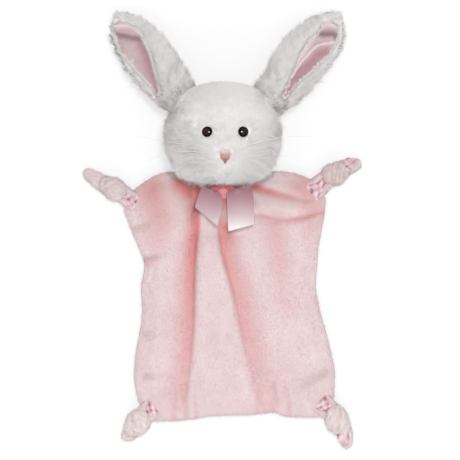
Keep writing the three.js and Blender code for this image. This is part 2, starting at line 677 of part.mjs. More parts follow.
// Knot profile: share of its length from its middle, then share of its half width and height
const knotShares = [[-0.5, 0.5], [-0.42, 0.72], [-0.25, 0.93], [-0.05, 1], [0.15, 0.98], [0.32, 0.85],
  [0.44, 0.62], [0.5, 0.4]];
const tipShares = [[0.2, 0.8, 1], [0.45, 1, 1], [0.65, 0.95, 0.95], [0.82, 0.85, 0.85], [0.94, 0.6, 0.65],
  [1, 0.25, 0.4]];

function knotSolid(reach, shift, grow) {
  const half = knotLength / 2 + grow;
  return toSolid(loft(knotShares.map(([at, swell]) => ellipseRing(18, (c, s) => {
    const x = 2 * at * half;
    const groove = knotGroove * Math.exp(-(((x - half * 0.5 * c) / (half * 0.2)) ** 2));
    const [wide, tall] = [knotWidth, knotHeight].map((size) => (size / 2) * swell + grow - groove);
    return new THREE.Vector3(reach + x, shift + wide * c, knotHeight / 2 - floorCut + tall * s);
  }))));
}

function buildCorner(parent, name) {
  const { middle, width, outward } = throats[name];
  const corner = cornerShares[name];
  const [reach, shift] = [corner.reach * knotReach, corner.shift * knotWidth];
  const group = new THREE.Group();
  group.position.set(middle.x, middle.y, 0);
  group.rotation.z = Math.atan2(outward.y, outward.x);
  const knotStart = reach - knotLength / 2 - seamGap;
  const tall = throatHeight / 2;
  const flare = loft([0, 0.5, 1].map((share) => ellipseRing(14, (c, s) => new THREE.Vector3(
    seamGap + (knotStart - seamGap) * share,
    shift * share + c * (width / 2) * (1 - 0.3 * share), tall - floorCut + tall * s))));
  addMesh(group, `corner_${name}_satin`, toGeometry(toSolid(flare).intersect(aboveFloor)), satinPink);
  const knot = knotSolid(reach, shift, 0).intersect(aboveFloor);
  addMesh(group, `corner_${name}_knot`, toGeometry(knot), plushPink);
  const from = new THREE.Vector2(reach, shift);
  const to = new THREE.Vector2(...corner.tip).multiplyScalar(tipReach);
  const side = to.clone().sub(from).normalize().rotateAround(new THREE.Vector2(), Math.PI / 2);
  const tip = toSolid(loft(tipShares.map(([share, wide, high]) => ellipseRing(14, (c, s) => {
    const at = from.clone().lerp(to, share).addScaledVector(side, c * wide * tipWidth / 2);
    return new THREE.Vector3(at.x, at.y, tipHeight / 2 - floorCut + high * s * tipHeight / 2);
  }))));
  const free = tip.subtract(knotSolid(reach, shift, seamGap)).intersect(aboveFloor);
  addMesh(group, `corner_${name}_tip`, toGeometry(free), plushPink);
  parent.add(group);
}

buildBlanket(lovey);
Object.keys(throats).forEach((name) => buildCorner(lovey, name));
buildNeck(lovey);
buildBow(lovey);
buildHead(lovey);
[-1, 1].forEach((side) => buildEar(lovey, side));

export default lovey;
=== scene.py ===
# Comfort blanket lovey: a plush rabbit head with floppy ears on a small two-layer blanket with
# four knotted corners and a satin bow. It lies on its back, seen from straight above.
# Places and sizes are in millimetres until a piece is settled, then in metres.
import math

import bmesh
import bpy
import numpy as np
from mathutils import Matrix, Vector
from mathutils.kdtree import KDTree


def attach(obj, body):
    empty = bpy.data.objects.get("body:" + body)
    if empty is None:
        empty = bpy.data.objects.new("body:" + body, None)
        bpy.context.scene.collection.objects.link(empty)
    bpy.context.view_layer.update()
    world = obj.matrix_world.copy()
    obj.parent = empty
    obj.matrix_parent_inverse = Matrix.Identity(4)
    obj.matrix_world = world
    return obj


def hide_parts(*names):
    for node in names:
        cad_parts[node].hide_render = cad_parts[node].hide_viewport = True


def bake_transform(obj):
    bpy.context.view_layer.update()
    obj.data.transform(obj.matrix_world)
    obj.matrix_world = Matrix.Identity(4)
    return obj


MM = 0.001
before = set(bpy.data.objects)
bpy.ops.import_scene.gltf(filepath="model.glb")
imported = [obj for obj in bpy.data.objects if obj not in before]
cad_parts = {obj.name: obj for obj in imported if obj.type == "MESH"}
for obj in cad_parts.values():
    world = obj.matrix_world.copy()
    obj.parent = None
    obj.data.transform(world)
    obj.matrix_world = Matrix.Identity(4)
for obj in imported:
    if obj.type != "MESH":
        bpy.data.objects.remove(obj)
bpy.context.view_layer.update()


# Colour and finish
def tone(red, green, blue):
    """A colour given from 0 to 255 as it looks on a screen, in the shader's linear values."""
    share = [value / 255 for value in (red, green, blue)]
    return (*[s / 12.92 if s < 0.04045 else ((s + 0.055) / 1.055) ** 2.4 for s in share], 1.0)


def feed(tree, socket, value):
    """Links a socket to another node's output, or sets it to a value."""
    if isinstance(value, bpy.types.NodeSocket):
        tree.links.new(value, socket)
    else:
        socket.default_value = value


def put(tree, kind, settings=(), **values):
    """A node of a kind; settings are its properties and values its sockets, with _ for a space."""
    node = tree.nodes.new(kind)
    for key, value in dict(settings).items():
        setattr(node, key, value)
    for key, value in values.items():
        feed(tree, node.inputs[key.replace("_", " ")], value)
    return node


def blended(tree, share, low, high):
    """A colour between two others."""
    node = put(tree, "ShaderNodeMix", {"data_type": "RGBA"})
    for k, value in ((0, share), (6, low), (7, high)):
        feed(tree, node.inputs[k], value)
    return node.outputs[2]


def sums(tree, operation, *values):
    """The result of one arithmetic step on numbers or on other nodes' outputs."""
    node = put(tree, "ShaderNodeMath", {"operation": operation})
    for socket, value in zip(node.inputs, values):
        feed(tree, socket, value)
    return node.outputs[0]


def clamped(tree, value):
    """A number kept from 0 to 1."""
    return put(tree, "ShaderNodeClamp", Value=value).outputs[0]


def stored(tree, label):
    """The number that mark() left on the piece under a label."""
    return put(tree, "ShaderNodeAttribute", {"attribute_name": label}).outputs["Fac"]


def tinted(tree, colour, marks):
    """A colour with tints laid over it; marks pairs the label of a stored number with its tint."""
    for label, tint in marks:
        colour = blended(tree, stored(tree, label), colour, tone(*tint))
    return colour


def noise(tree, scale, detail):
    """Unevenness over the piece's own places."""
    where = put(tree, "ShaderNodeTexCoord").outputs["Object"]
    return put(tree, "ShaderNodeTexNoise", Vector=where, Scale=scale, Detail=detail).outputs["Fac"]


def threads(tree, way, scale, distortion):
    """Close parallel threads over the piece's own places."""
    where = put(tree, "ShaderNodeTexCoord").outputs["Object"]
    return put(tree, "ShaderNodeTexWave", {"wave_type": "BANDS", "bands_direction": way},
               Vector=where, Scale=scale, Distortion=distortion, Detail=1.0).outputs["Fac"]


def effect(name, inputs, outputs):
    """An empty shader node group with its sockets; inputs give each socket's first value."""
    group = bpy.data.node_groups.new(name, "ShaderNodeTree")
    for label, value in inputs.items():
        kind = "NodeSocketColor" if isinstance(value, tuple) else "NodeSocketFloat"
        group.interface.new_socket(label, in_out="INPUT", socket_type=kind).default_value = value
    for label, kind in outputs.items():
        group.interface.new_socket(label, in_out="OUTPUT", socket_type=f"NodeSocket{kind}")
    return group, group.nodes.new("NodeGroupInput").outputs, group.nodes.new("NodeGroupOutput").inputs


def pile_effect():
    """Plush pile: soft patches where the nap lies differently, fine tufts, and their height."""
    group, given, out = effect(
        "plush_pile",
        {"Deep": tone(200, 150, 150), "Lit": tone(238, 215, 216), "Patch": 60.0, "Tuft": 900.0, "Mix": 0.5},
        {"Colour": "Color", "Height": "Float"})
    patch, tuft = noise(group, given["Patch"], 3.0), noise(group, given["Tuft"], 2.0)
    both = sums(group, "MULTIPLY_ADD", patch, 0.5, sums(group, "MULTIPLY", tuft, 0.5))
    spread = sums(group, "MULTIPLY_ADD", sums(group, "SUBTRACT", both, 0.5), 2.2, given["Mix"])
    feed(group, out["Colour"], blended(group, clamped(group, spread), given["Deep"], given["Lit"]))
    feed(group, out["Height"], tuft)
    return group


def satin_effect():
    """Satin: fine close threads one way, soft creases, and the uneven gloss that they make."""
    group, given, out = effect(
        "satin_weave",
        {"Low": tone(190, 150, 158), "High": tone(236, 205, 211), "Crease": 90.0},
        {"Colour": "Color", "Height": "Float", "Roughness": "Float"})
    thread = threads(group, "DIAGONAL", 2600.0, 0.6)
    crease = noise(group, given["Crease"], 3.0)
    share = clamped(group, sums(group, "MULTIPLY_ADD", sums(group, "SUBTRACT", crease, 0.5), 2.6, 0.5))
    feed(group, out["Colour"], blended(group, share, given["Low"], given["High"]))
    feed(group, out["Height"], sums(group, "MULTIPLY_ADD", crease, 4.0,
                                    sums(group, "MULTIPLY", thread, 0.12)))
    feed(group, out["Roughness"], sums(group, "MULTIPLY_ADD", share, -0.12, 0.42))
    return group


PILE = pile_effect()
SATIN = satin_effect()


def start_finish(name, **values):
    """A new material with its tree and its shader; values are the shader's constants."""
    material = bpy.data.materials.new(name)
    material.use_nodes = True
    shader = material.node_tree.nodes["Principled BSDF"]
    for key, value in values.items():
        shader.inputs[key.replace("_", " ")].default_value = value
    return material, material.node_tree, shader.inputs


def raise_bump(tree, shader, height, distance):
    """Gives a finish its fine relief."""
    bump = put(tree, "ShaderNodeBump", Height=height, Distance=distance, Strength=1.0)
    feed(tree, shader["Normal"], bump.outputs["Normal"])


def plush_finish(name, deep, lit, marks=(), patch=60.0, tuft=900.0, sheen=0.25, bump=0.0004):
    """Cloth under the pile; marks lay painted shade into its colour where little light is thrown back."""
    material, tree, shader = start_finish(name, Roughness=0.95, Sheen_Weight=sheen, Sheen_Roughness=0.6)
    pile = put(tree, "ShaderNodeGroup", {"node_tree": PILE}, Deep=tone(*deep), Lit=tone(*lit), Patch=patch,
               Tuft=tuft, Mix=0.5).outputs
    feed(tree, shader["Base Color"], tinted(tree, pile["Colour"], marks))
    raise_bump(tree, shader, pile["Height"], bump)
    return material


def strand_finish(name, root, tip, shade, gap, patch=90.0):
    """Pile strands: painted shade at the root, changing in soft patches, and painted shade deepest in gaps
    and hollows.
    """
    material, tree, shader = start_finish(name, Roughness=0.8, Sheen_Weight=0.7, Sheen_Roughness=0.55)
    pile = put(tree, "ShaderNodeGroup", {"node_tree": PILE}, Deep=tone(*shade), Lit=tone(*tip), Patch=patch,
               Tuft=700.0, Mix=0.62).outputs
    colour = blended(tree, stored(tree, "tipward"), tone(*root), pile["Colour"])
    feed(tree, shader["Base Color"], tinted(tree, colour, [("hollow", gap)]))
    return material


def satin_finish(name, low, high, crease, marks=(), bump=0.00025):
    """Satin with its creases; marks tint it where a fold turns to or from the light."""
    material, tree, shader = start_finish(name, Sheen_Weight=0.2, Sheen_Roughness=0.3, Specular_IOR_Level=0.6)
    weave = put(tree, "ShaderNodeGroup", {"node_tree": SATIN}, Low=tone(*low), High=tone(*high),
                Crease=crease).outputs
    feed(tree, shader["Base Color"], tinted(tree, weave["Colour"], marks))
    feed(tree, shader["Roughness"], weave["Roughness"])
    raise_bump(tree, shader, weave["Height"], bump)
    return material


def eye_finish():
    """Black acrylic, dark brown in the middle under a clear gloss."""
    material, tree, shader = start_finish("eye_acrylic", Roughness=0.35, Specular_IOR_Level=0.15,
                                          Coat_IOR=1.7,
                                          Coat_Roughness=0.03)
    brown = blended(tree, noise(tree, 900.0, 3.0), tone(22, 10, 9), tone(56, 26, 21))
    feed(tree, shader["Base Color"], tinted(tree, brown, [("ring", (7, 4, 5))]))
    feed(tree, shader["Coat Weight"], sums(tree, "SUBTRACT", 1.0, stored(tree, "ring")))
    return material


def thread_finish(name, low, high, rows, marks=()):
    """Close rows of embroidery thread."""
    material, tree, shader = start_finish(name, Roughness=0.5, Sheen_Weight=0.4, Sheen_Roughness=0.3)
    wave = threads(tree, "Y", rows, 0.8)
    feed(tree, shader["Base Color"], tinted(tree, blended(tree, wave, tone(*low), tone(*high)), marks))
    raise_bump(tree, shader, wave, 0.0003)
    return material


def plain_finish(name, low, high, roughness):
    """Smooth plastic with a faint grain."""
    material, tree, shader = start_finish(name, Roughness=roughness)
    grain = noise(tree, 300.0, 4.0)
    feed(tree, shader["Base Color"], blended(tree, grain, tone(*low), tone(*high)))
    raise_bump(tree, shader, grain, 0.0001)
    return material


FINISHES = {
    "skin": plush_finish("white_plush_cloth", (238, 234, 232), (250, 248, 247)),
    "ear_skin": plush_finish("ear_plush_cloth", (234, 228, 226), (248, 244, 243)),
    # Neck: white plush coloured deep pink, which is painted shade under the chin
    "neck": plush_finish("neck_cloth_painted_shade", (220, 142, 146), (236, 170, 172)),
    "stuffing": plush_finish("polyester_stuffing", (232, 230, 226), (248, 247, 244), patch=150.0),
    # Knot: its mark paints shade in the creases and over shaded corners
    "knot": plush_finish("knot_plush", (236, 217, 215), (247, 234, 233), [("hollow", (184, 150, 149))],
                         patch=120.0),
    # Blanket: its marks paint pink shade in the folds and under the chin, and grey shadow in some folds
    "blanket": plush_finish("blanket_plush", (228, 200, 202), (241, 222, 224), [
        ("hollow", (224, 116, 112)), ("painted_fold_shadow", (150, 118, 108))], patch=45.0, tuft=1100.0, sheen=0.3,
        bump=0.0005),
    # Pile strands: the root colour is painted shade at the roots, the last colour painted shade in gaps and
    # hollows
    "fur": strand_finish("white_long_pile", (238, 234, 232), (253, 251, 250), (244, 241, 240),
                         (168, 157, 154)),
    "crown": strand_finish("white_short_pile", (242, 238, 237), (253, 250, 250), (248, 244, 244),
                           (196, 186, 184), 40.0),
    "nap": strand_finish("pink_nap", (235, 202, 203), (248, 236, 237), (242, 225, 226), (229, 129, 125),
                         45.0),
    "knot_nap": strand_finish("knot_nap", (240, 219, 217), (251, 241, 240), (245, 230, 228), (186, 158, 156),
                              60.0),
    "nose_nap": strand_finish("nose_nap", (247, 214, 210), (255, 243, 240), (252, 232, 229), (214, 158, 152),
                              200.0),
    # Ear satin: its marks paint shade in the cup, shadow under the folds and highlight on them
    "ear_satin": satin_finish("ear_satin", (194, 167, 169), (214, 190, 192), 60.0, [
        ("hollow", (184, 134, 144)), ("painted_shadow", (142, 112, 126)), ("painted_highlight", (240, 222, 222))]),
    # Throat satin: its marks paint shade between the pleats and highlight on them
    "throat_satin": satin_finish("throat_satin", (210, 160, 170), (240, 206, 213), 220.0, [
        ("hollow", (136, 80, 90)), ("painted_highlight", (252, 232, 236))], bump=0.0004),
    "back_satin": satin_finish("back_satin", (226, 186, 194), (243, 214, 220), 30.0),
    # Ribbon: its marks paint the chin's shadow on the bow's tails and deep pink shade under the chin
    "ribbon": satin_finish("ribbon_satin", (240, 224, 226), (250, 240, 240), 40.0, [
        ("painted_shadow", (160, 108, 120)), ("hollow", (226, 126, 134))], bump=0.0001),
    # Nose: its mark paints shade on the lower part, leaving the top lighter
    "nose": thread_finish("nose_thread", (246, 216, 213), (255, 238, 235), 380.0,
                          [("hollow", (212, 156, 152))]),
    # Mouth: a dark stitch, coloured and sized to stand for the shade under the nose as well
    "mouth": thread_finish("mouth_thread_painted_shade", (146, 106, 100), (180, 142, 136), 500.0),
    "whisker": plain_finish("clear_filament", (226, 226, 228), (246, 246, 248), 0.25),
    "washer": plain_finish("washer_plastic", (214, 214, 208), (226, 226, 222), 0.5),
    "eye": eye_finish(),
}


# Making and settling pieces
def add_object(name, data, place=(0, 0, 0)):
    """Puts a mesh, lamp or camera in the scene."""
    added = bpy.data.objects.new(name, data)
    added.location = place
    bpy.context.collection.objects.link(added)
    return added


def show(name, mesh, finish, body, stands_for=()):
    """Puts a finished mesh in the scene, on its body and in place of the solids it stands for."""
    mesh.polygons.foreach_set("use_smooth", [True] * len(mesh.polygons))
    mesh.materials.append(FINISHES[finish])
    piece = add_object(name, mesh)
    if body:
        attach(piece, body)
    if stands_for:
        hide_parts(*stands_for)
    return piece


def settle(name, shape, finish, body, stands_for=()):
    """Turns a bmesh in millimetres into a finished piece, with its faces outward."""
    bmesh.ops.recalc_face_normals(shape, faces=shape.faces)
    if shape.calc_volume(signed=True) < 0:
        bmesh.ops.reverse_faces(shape, faces=shape.faces)
    bmesh.ops.scale(shape, vec=(MM, MM, MM), verts=shape.verts)
    mesh = bpy.data.meshes.new(name)
    shape.to_mesh(mesh)
    shape.free()
    return show(name, mesh, finish, body, stands_for)


def mould(shape, place):
    """Moves every vertex to where place() puts it."""
    for vertex in shape.verts:
        vertex.co = place(vertex.co)
    return shape


def tube(around, rows, place):
    """A closed form with round ends: place() gets the share of its length, then cosine and sine."""
    shape = bmesh.new()
    bmesh.ops.create_uvsphere(shape, u_segments=around, v_segments=rows, radius=1,
                              matrix=Matrix.Rotation(math.pi / 2, 4, "X"))

    def seat(spot):
        ring = math.hypot(spot.x, spot.z)
        cosine, sine = (spot.x / ring, spot.z / ring) if ring > 1e-5 else (0.0, 0.0)
        return Vector(place((1 + spot.y) / 2, cosine, sine))

    return mould(shape, seat)


def sheet_of(across, down, place):
    """A moulded grid: place() gets a place from 0 to 1 in X and Y."""
    shape = bmesh.new()
    bmesh.ops.create_grid(shape, x_segments=across, y_segments=down, size=0.5,
                          matrix=Matrix.Translation((0.5, 0.5, 0)))
    return mould(shape, place)


def thicken(shape, thickness):
    """Gives a sheet its thickness, downward where that is below zero."""
    bmesh.ops.recalc_face_normals(shape, faces=shape.faces)
    bmesh.ops.solidify(shape, geom=shape.faces[:], thickness=thickness)
    return shape


def mark(piece, label, values):
    """Stores a number on every vertex for a finish to read."""
    layer = piece.data.attributes.new(label, "FLOAT", "POINT")
    layer.data.foreach_set("value", np.asarray(values, dtype=np.float32))


def places_of(piece):
    """Where a piece's vertices are, in millimetres."""
    flat = np.empty(3 * len(piece.data.vertices))
    piece.data.vertices.foreach_get("co", flat)
    return flat.reshape(-1, 3) / MM


# Smooth changes, paths and unevenness
def step(value, low, high):
    """A smooth change from 0 at low to 1 at high."""
    share = np.clip((value - low) / (high - low), 0, 1)
    return share * share * (3 - 2 * share)


def along(rows, share, column=1):
    """A column of a table at a share given in its first column."""
    return np.interp(share, [row[0] for row in rows], [row[column] for row in rows])


def ripple(places, size, seed):
    """Smooth unevenness from about -1 to 1 that changes over a size in millimetres."""
    places = np.pad(places, ((0, 0), (0, 3 - places.shape[1])))
    rng = np.random.default_rng(seed)
    total = np.zeros(len(places))
    for _ in range(7):
        way = rng.normal(size=3)
        turns = places @ (way / np.linalg.norm(way)) * (2 * math.pi / size) * rng.uniform(0.6, 1.5)
        total += np.sin(turns + rng.uniform(0, 2 * math.pi))
    return total / 3.2


def swirl(places, sizes, seed):
    """Smooth unevenness of a direction, with a size for each axis."""
    return np.stack([ripple(places, size, seed + k) for k, size in enumerate(sizes)], axis=1)


def unit(rows):
    """Directions of length 1."""
    return rows / np.maximum(np.linalg.norm(rows, axis=1, keepdims=True), 1e-9)


def on_surface(lean, up):
    """The part of each direction that runs along the surface."""
    return lean - up * np.sum(lean * up, axis=1, keepdims=True)


def rounded(points, count):
    """A smooth line through points, as evenly spaced places."""
    points = [np.array(point, dtype=float) for point in (points[0], *points, points[-1])]
    fine = []
    for a, b, c, d in zip(points, points[1:], points[2:], points[3:]):
        for t in np.linspace(0, 1, 12, endpoint=False):
            fine.append(0.5 * (2 * b + (c - a) * t + (2 * a - 5 * b + 4 * c - d) * t * t
                               + (3 * b - a - 3 * c + d) * t ** 3))
    fine = np.array([*fine, points[-1]])
    run = np.concatenate([[0], np.cumsum(np.hypot(*np.diff(fine, axis=0).T))])
    at = np.linspace(0, run[-1], count)
    return np.stack([np.interp(at, run, fine[:, 0]), np.interp(at, run, fine[:, 1])], axis=1)


def path_gap(places, path):
    """Distance to a path, which side of it a place lies on, and the share of the path reached."""
    best = np.full(len(places), 1e9)
    hand, reached = np.ones(len(places)), np.zeros(len(places))
    steps = np.hypot(*np.diff(path, axis=0).T)
    start = np.concatenate([[0], np.cumsum(steps)]) / steps.sum()
    for k in range(len(path) - 1):
        line = path[k + 1] - path[k]
        off = places - path[k]
        share = np.clip(off @ line / (line @ line), 0, 1)
        gap = np.hypot(*(off - share[:, None] * line).T)
        nearer = gap < best
        best = np.where(nearer, gap, best)
        hand = np.where(nearer, np.sign(line[0] * off[:, 1] - line[1] * off[:, 0]), hand)
        reached = np.where(nearer, start[k] + share * (start[k + 1] - start[k]), reached)
    return best, hand, reached


# Pile strands
def strand_shape(bent):
    """One closed strand along Z from 0 to 1: a thin three-sided spike, with a bend ring if asked."""
    shape = bmesh.new()
    bmesh.ops.create_cone(shape, cap_ends=True, cap_tris=True, segments=3, radius1=1, radius2=0, depth=1,
                          matrix=Matrix.Translation((0, 0, 0.5)))
    bmesh.ops.remove_doubles(shape, verts=shape.verts, dist=1e-5)
    if bent:
        bmesh.ops.bisect_plane(shape, geom=shape.verts[:] + shape.edges[:] + shape.faces[:],
                               plane_co=(0, 0, 0.45), plane_no=(0, 0, 1))
        for vertex in shape.verts:
            if 0.2 < vertex.co.z < 0.8:
                vertex.co.xy *= 1.5
    bmesh.ops.triangulate(shape, faces=shape.faces)
    bmesh.ops.recalc_face_normals(shape, faces=shape.faces)
    corners = np.array([vertex.co for vertex in shape.verts])
    shape.verts.index_update()
    faces = np.array([[vertex.index for vertex in face.verts] for face in shape.faces])
    shape.free()
    return corners, faces


BENT_STRAND = strand_shape(True)
SHORT_STRAND = strand_shape(False)
# A strand's thickness as a share of its width, how deep its root sits, how far along it bends, how far
# it rolls about its own line, and how much its length varies
STRAND_FLATNESS, ROOT_DEPTH, BEND_SHARE, ROLL_SPREAD = 0.25, 0.5, 0.3, 0.35
LENGTH_RANGE, UNDERSIDE_LENGTH = (0.75, 1.15), 0.6
# How far a tuft pulls its tips together, and how deep the painted shade is in the gaps between tufts
TUFT_PULL, GAP_SHADE = (0.1, 0.5), 0.4
# Lowest level of a strand on the resting plane, and its thickness there
REST_LEVEL, REST_THICKNESS = 0.15, 0.1
# How far a strand is lit as the cloth under it, and not by its own sides
CLOTH_LIGHT = 0.65


def roots_on(piece, per_square, seed):
    """Random places spread evenly over a piece, with the surface's direction at each."""
    mesh = piece.data
    mesh.calc_loop_triangles()
    place = places_of(piece)
    normal = np.empty(place.size)
    mesh.vertices.foreach_get("normal", normal)
    normal = normal.reshape(-1, 3)
    corner = np.empty(3 * len(mesh.loop_triangles), dtype=np.int32)
    mesh.loop_triangles.foreach_get("vertices", corner)
    corner = corner.reshape(-1, 3)
    # The operators don't always give faces in the same order, so they are put in order of place
    rank = np.argsort(np.lexsort(place.T))
    corner = np.take_along_axis(corner, np.argsort(rank[corner], axis=1), axis=1)
    corner = corner[np.lexsort(rank[corner].T)]
    a, b, c = (place[corner[:, k]] for k in range(3))
    area = np.linalg.norm(np.cross(b - a, c - a), axis=1) / 2
    rng = np.random.default_rng(seed)
    pick = rng.choice(len(corner), int(area.sum() * per_square), p=area / area.sum())
    first, second = rng.random((2, len(pick)))
    root = np.sqrt(first)
    share = np.stack([1 - root, root * (1 - second), root * second], axis=1)[:, :, None]
    spot, up = (sum(share[:, k] * values[corner[pick, k]] for k in range(3)) for values in (place, normal))
    return spot, unit(up)


def tufted(spot, tip, per_tuft, rng):
    """Strand tips drawn together into tufts, and how far towards the gaps each strand stands."""
    leaders = rng.choice(len(spot), max(1, len(spot) // per_tuft), replace=False)
    tree = KDTree(len(leaders))
    for k, leader in enumerate(leaders):
        tree.insert(spot[leader], k)
    tree.balance()
    found = [tree.find(place) for place in spot]
    nearest = np.array([one[1] for one in found])
    far = np.array([one[2] for one in found])
    pull = rng.uniform(*TUFT_PULL, (len(spot), 1))
    return tip + pull * (tip[leaders][nearest] - tip), step(far, 0.45 * far.max(), 0.85 * far.max())


def strand_mesh(name, points, faces):
    """One mesh of many strands; points holds every strand's vertices in millimetres."""
    count, each = points.shape[:2]
    mesh = bpy.data.meshes.new(name)
    mesh.vertices.add(count * each)
    mesh.vertices.foreach_set("co", (points * MM).ravel())
    index = (faces[None] + (np.arange(count) * each)[:, None, None]).ravel()
    mesh.loops.add(len(index))
    mesh.loops.foreach_set("vertex_index", index)
    mesh.polygons.add(len(index) // 3)
    mesh.polygons.foreach_set("loop_start", np.arange(0, len(index), 3))
    mesh.update(calc_edges=True)
    return mesh


def plant(name, spot, up, lean, length, width, finish, body, hollow, strand=BENT_STRAND, seed=1,
          loose=0.25, tuft=0, rise=0.3, glow=0.9):
    """Sets a strand at every root. It leaves along the surface's direction and bends into its lean."""
    rng = np.random.default_rng(seed)
    count = len(spot)
    under = UNDERSIDE_LENGTH + (1 - UNDERSIDE_LENGTH) * step(up[:, 2], -0.85, -0.4)
    length = (length * rng.uniform(*LENGTH_RANGE, count) * under)[:, None]
    end = unit(lean + loose * rng.normal(size=(count, 3)))
    start = spot - ROOT_DEPTH * up
    middle = start + (BEND_SHARE * end + rise * up) * length
    tip = start + end * length
    if tuft:
        tip, gap = tufted(spot, tip, tuft, rng)
        hollow = np.maximum(hollow, GAP_SHADE * gap)
    run = unit(tip - start)
    flat = unit(np.cross(up, run))
    roll = rng.normal(scale=ROLL_SPREAD, size=(count, 1))
    side = np.cos(roll) * flat + np.sin(roll) * np.cross(run, flat)
    other = np.cross(run, side)
    corners, faces = strand
    x, y, t = (corners[None, :, k:k + 1] for k in range(3))
    line = (1 - t) ** 2 * start[:, None] + 2 * t * (1 - t) * middle[:, None] + t ** 2 * tip[:, None]
    points = line + width / 2 * (x * side[:, None] + STRAND_FLATNESS * y * other[:, None])
    points[:, :, 2] = np.maximum(points[:, :, 2], REST_LEVEL + REST_THICKNESS * corners[None, :, 0])
    piece = show(name, strand_mesh(name, points, faces), finish, body)
    # The colour darkens towards the root and by the hollow mark: both are painted shade
    mark(piece, "tipward", np.tile(corners[:, 2], count))
    mark(piece, "hollow", np.repeat(hollow, len(corners)))
    lifted = (np.maximum(up[:, 2], glow) - up[:, 2]) * step(up[:, 2], -0.95, -0.6)
    above = up + np.outer(lifted, (0, 0, 1))
    facing = CLOTH_LIGHT * above[:, None] + (1 - CLOTH_LIGHT) * (x * side[:, None] + y * other[:, None])
    piece.data.normals_split_custom_set_from_vertices(unit(facing.reshape(-1, 3)))
    return piece


# Head
HEAD_CENTRE = np.array((0.8, 40.8, 35.5))
HEAD_HALF_WIDTH, HEAD_HALF_HEIGHT, HEAD_HALF_DEPTH = 48.5, 40.8, 36.0
FACE_SHIFT = 1.8
MUZZLE_RISE, MUZZLE_HALF_WIDTH, MUZZLE_HALF_HEIGHT, MUZZLE_DROP = 6.0, 22.0, 17.0, 19.0
EYE_SPREAD, EYE_DROP, EYE_RADIUS, EYE_HEIGHT = 14.1, 1.0, 4.25, 2.3
NOSE_TOP, NOSE_HEIGHT, NOSE_WIDTH = -14.8, 8.8, 9.0
FOREHEAD = [(-0.5, 1.05), (-0.62, 0.6), (-0.6, 0.3), (-0.33, 0.09), (0.04, 0.0), (0.41, 0.09),
            (0.65, 0.34), (0.66, 0.62), (0.54, 1.05)]


def head_section(y, proud):
    """Half the head's width and depth at a level, for its outline or some way off it."""
    share = min(1.0, abs(y) / (HEAD_HALF_HEIGHT + proud))
    power = 2.6 if y < 0 else 2.1
    wide = (HEAD_HALF_WIDTH + proud) * (1 - share ** power) ** (1 / power)
    deep = (HEAD_HALF_DEPTH + proud) * (1 - share ** 2.3) ** (1 / 2.3)
    return wide, deep


def muzzle(x, y):
    """How far the muzzle stands out of the face."""
    across, down = (x - FACE_SHIFT) / MUZZLE_HALF_WIDTH, (y + MUZZLE_DROP) / MUZZLE_HALF_HEIGHT
    return MUZZLE_RISE * math.exp(-across * across - down * down)


def face_point(x, y, proud=0.0):
    """The front of the head over a place given from the head's centre."""
    wide, deep = head_section(y, proud)
    round_off = math.sqrt(max(0.0, 1 - (x / wide) ** 2))
    return Vector((x, y, deep * round_off + round_off * muzzle(x, y))) + Vector(HEAD_CENTRE)


def face_normal(x, y):
    """Which way the face looks at a place."""
    right = face_point(x + 0.3, y) - face_point(x - 0.3, y)
    return right.cross(face_point(x, y + 0.3) - face_point(x, y - 0.3)).normalized()


def skin_inset(height, sine):
    """How far the cloth lies inside the pile's outline: least on the face and over the crown."""
    face = step(sine * math.sqrt(max(0, 1 - height * height)), 0.15, 0.75)
    crown = step(height, 0.45, 0.9)
    chin = step(-height, 0.45, 0.9)
    return 4.2 - 2.6 * max(face, crown, chin)


def head_place(share, cosine, sine):
    """A place on the head's cloth."""
    height = 2 * share - 1
    inset = skin_inset(height, sine)
    y = height * (HEAD_HALF_HEIGHT - inset)
    wide, deep = head_section(y, -inset)
    x = wide * cosine
    z = deep * sine + max(0.0, sine) * muzzle(x, y)
    return HEAD_CENTRE + (x, y, z)


def inside(places, outline):
    """Which places lie inside a closed outline in X and Y."""
    x, y = places[:, 0], places[:, 1]
    found = np.zeros(len(places), dtype=bool)
    for (ax, ay), (bx, by) in zip(outline, outline[1:] + outline[:1]):
        if ay == by:
            continue
        crosses = (ay > y) != (by > y)
        found ^= crosses & (x < (bx - ax) * (y - ay) / (by - ay) + ax)
    return found


# Tufts in the shade of the ears, beside the nose and round the eyes: place from the head's centre,
# reach in millimetres and depth
HEAD_SHADES = [
    ((-32, 19), 6.5, 0.8), ((-39, 15), 6.5, 0.85), ((31, 28), 6.0, 0.7), ((38, 29), 6.0, 0.85),
    ((-14, 6.5), 5.0, 0.3), ((20, 4), 5.0, 0.34), ((7, -16), 3.4, 0.34), ((0, -8), 5.5, 0.34),
    ((-30, -10), 5.0, 0.25), ((36, -6), 6.0, 0.1),
    ((FACE_SHIFT - EYE_SPREAD - 6.4, 2.4 - EYE_DROP), 3.6, 0.45),
    ((FACE_SHIFT + EYE_SPREAD + 7.2, 0.8 - EYE_DROP), 3.6, 0.45),
    ((FACE_SHIFT - 1.0, 1.6 - EYE_DROP), 4.4, 0.3),
]
NOSE_CENTRE = (FACE_SHIFT, NOSE_TOP - NOSE_HEIGHT / 2, 0)
CROWN_PILE, SEAM_PILE, FACE_PILE, CHEEK_PILE = 2.8, 3.4, 4.0, 10.0
STUFFING_SHARE, FAR = 0.9, 40.0


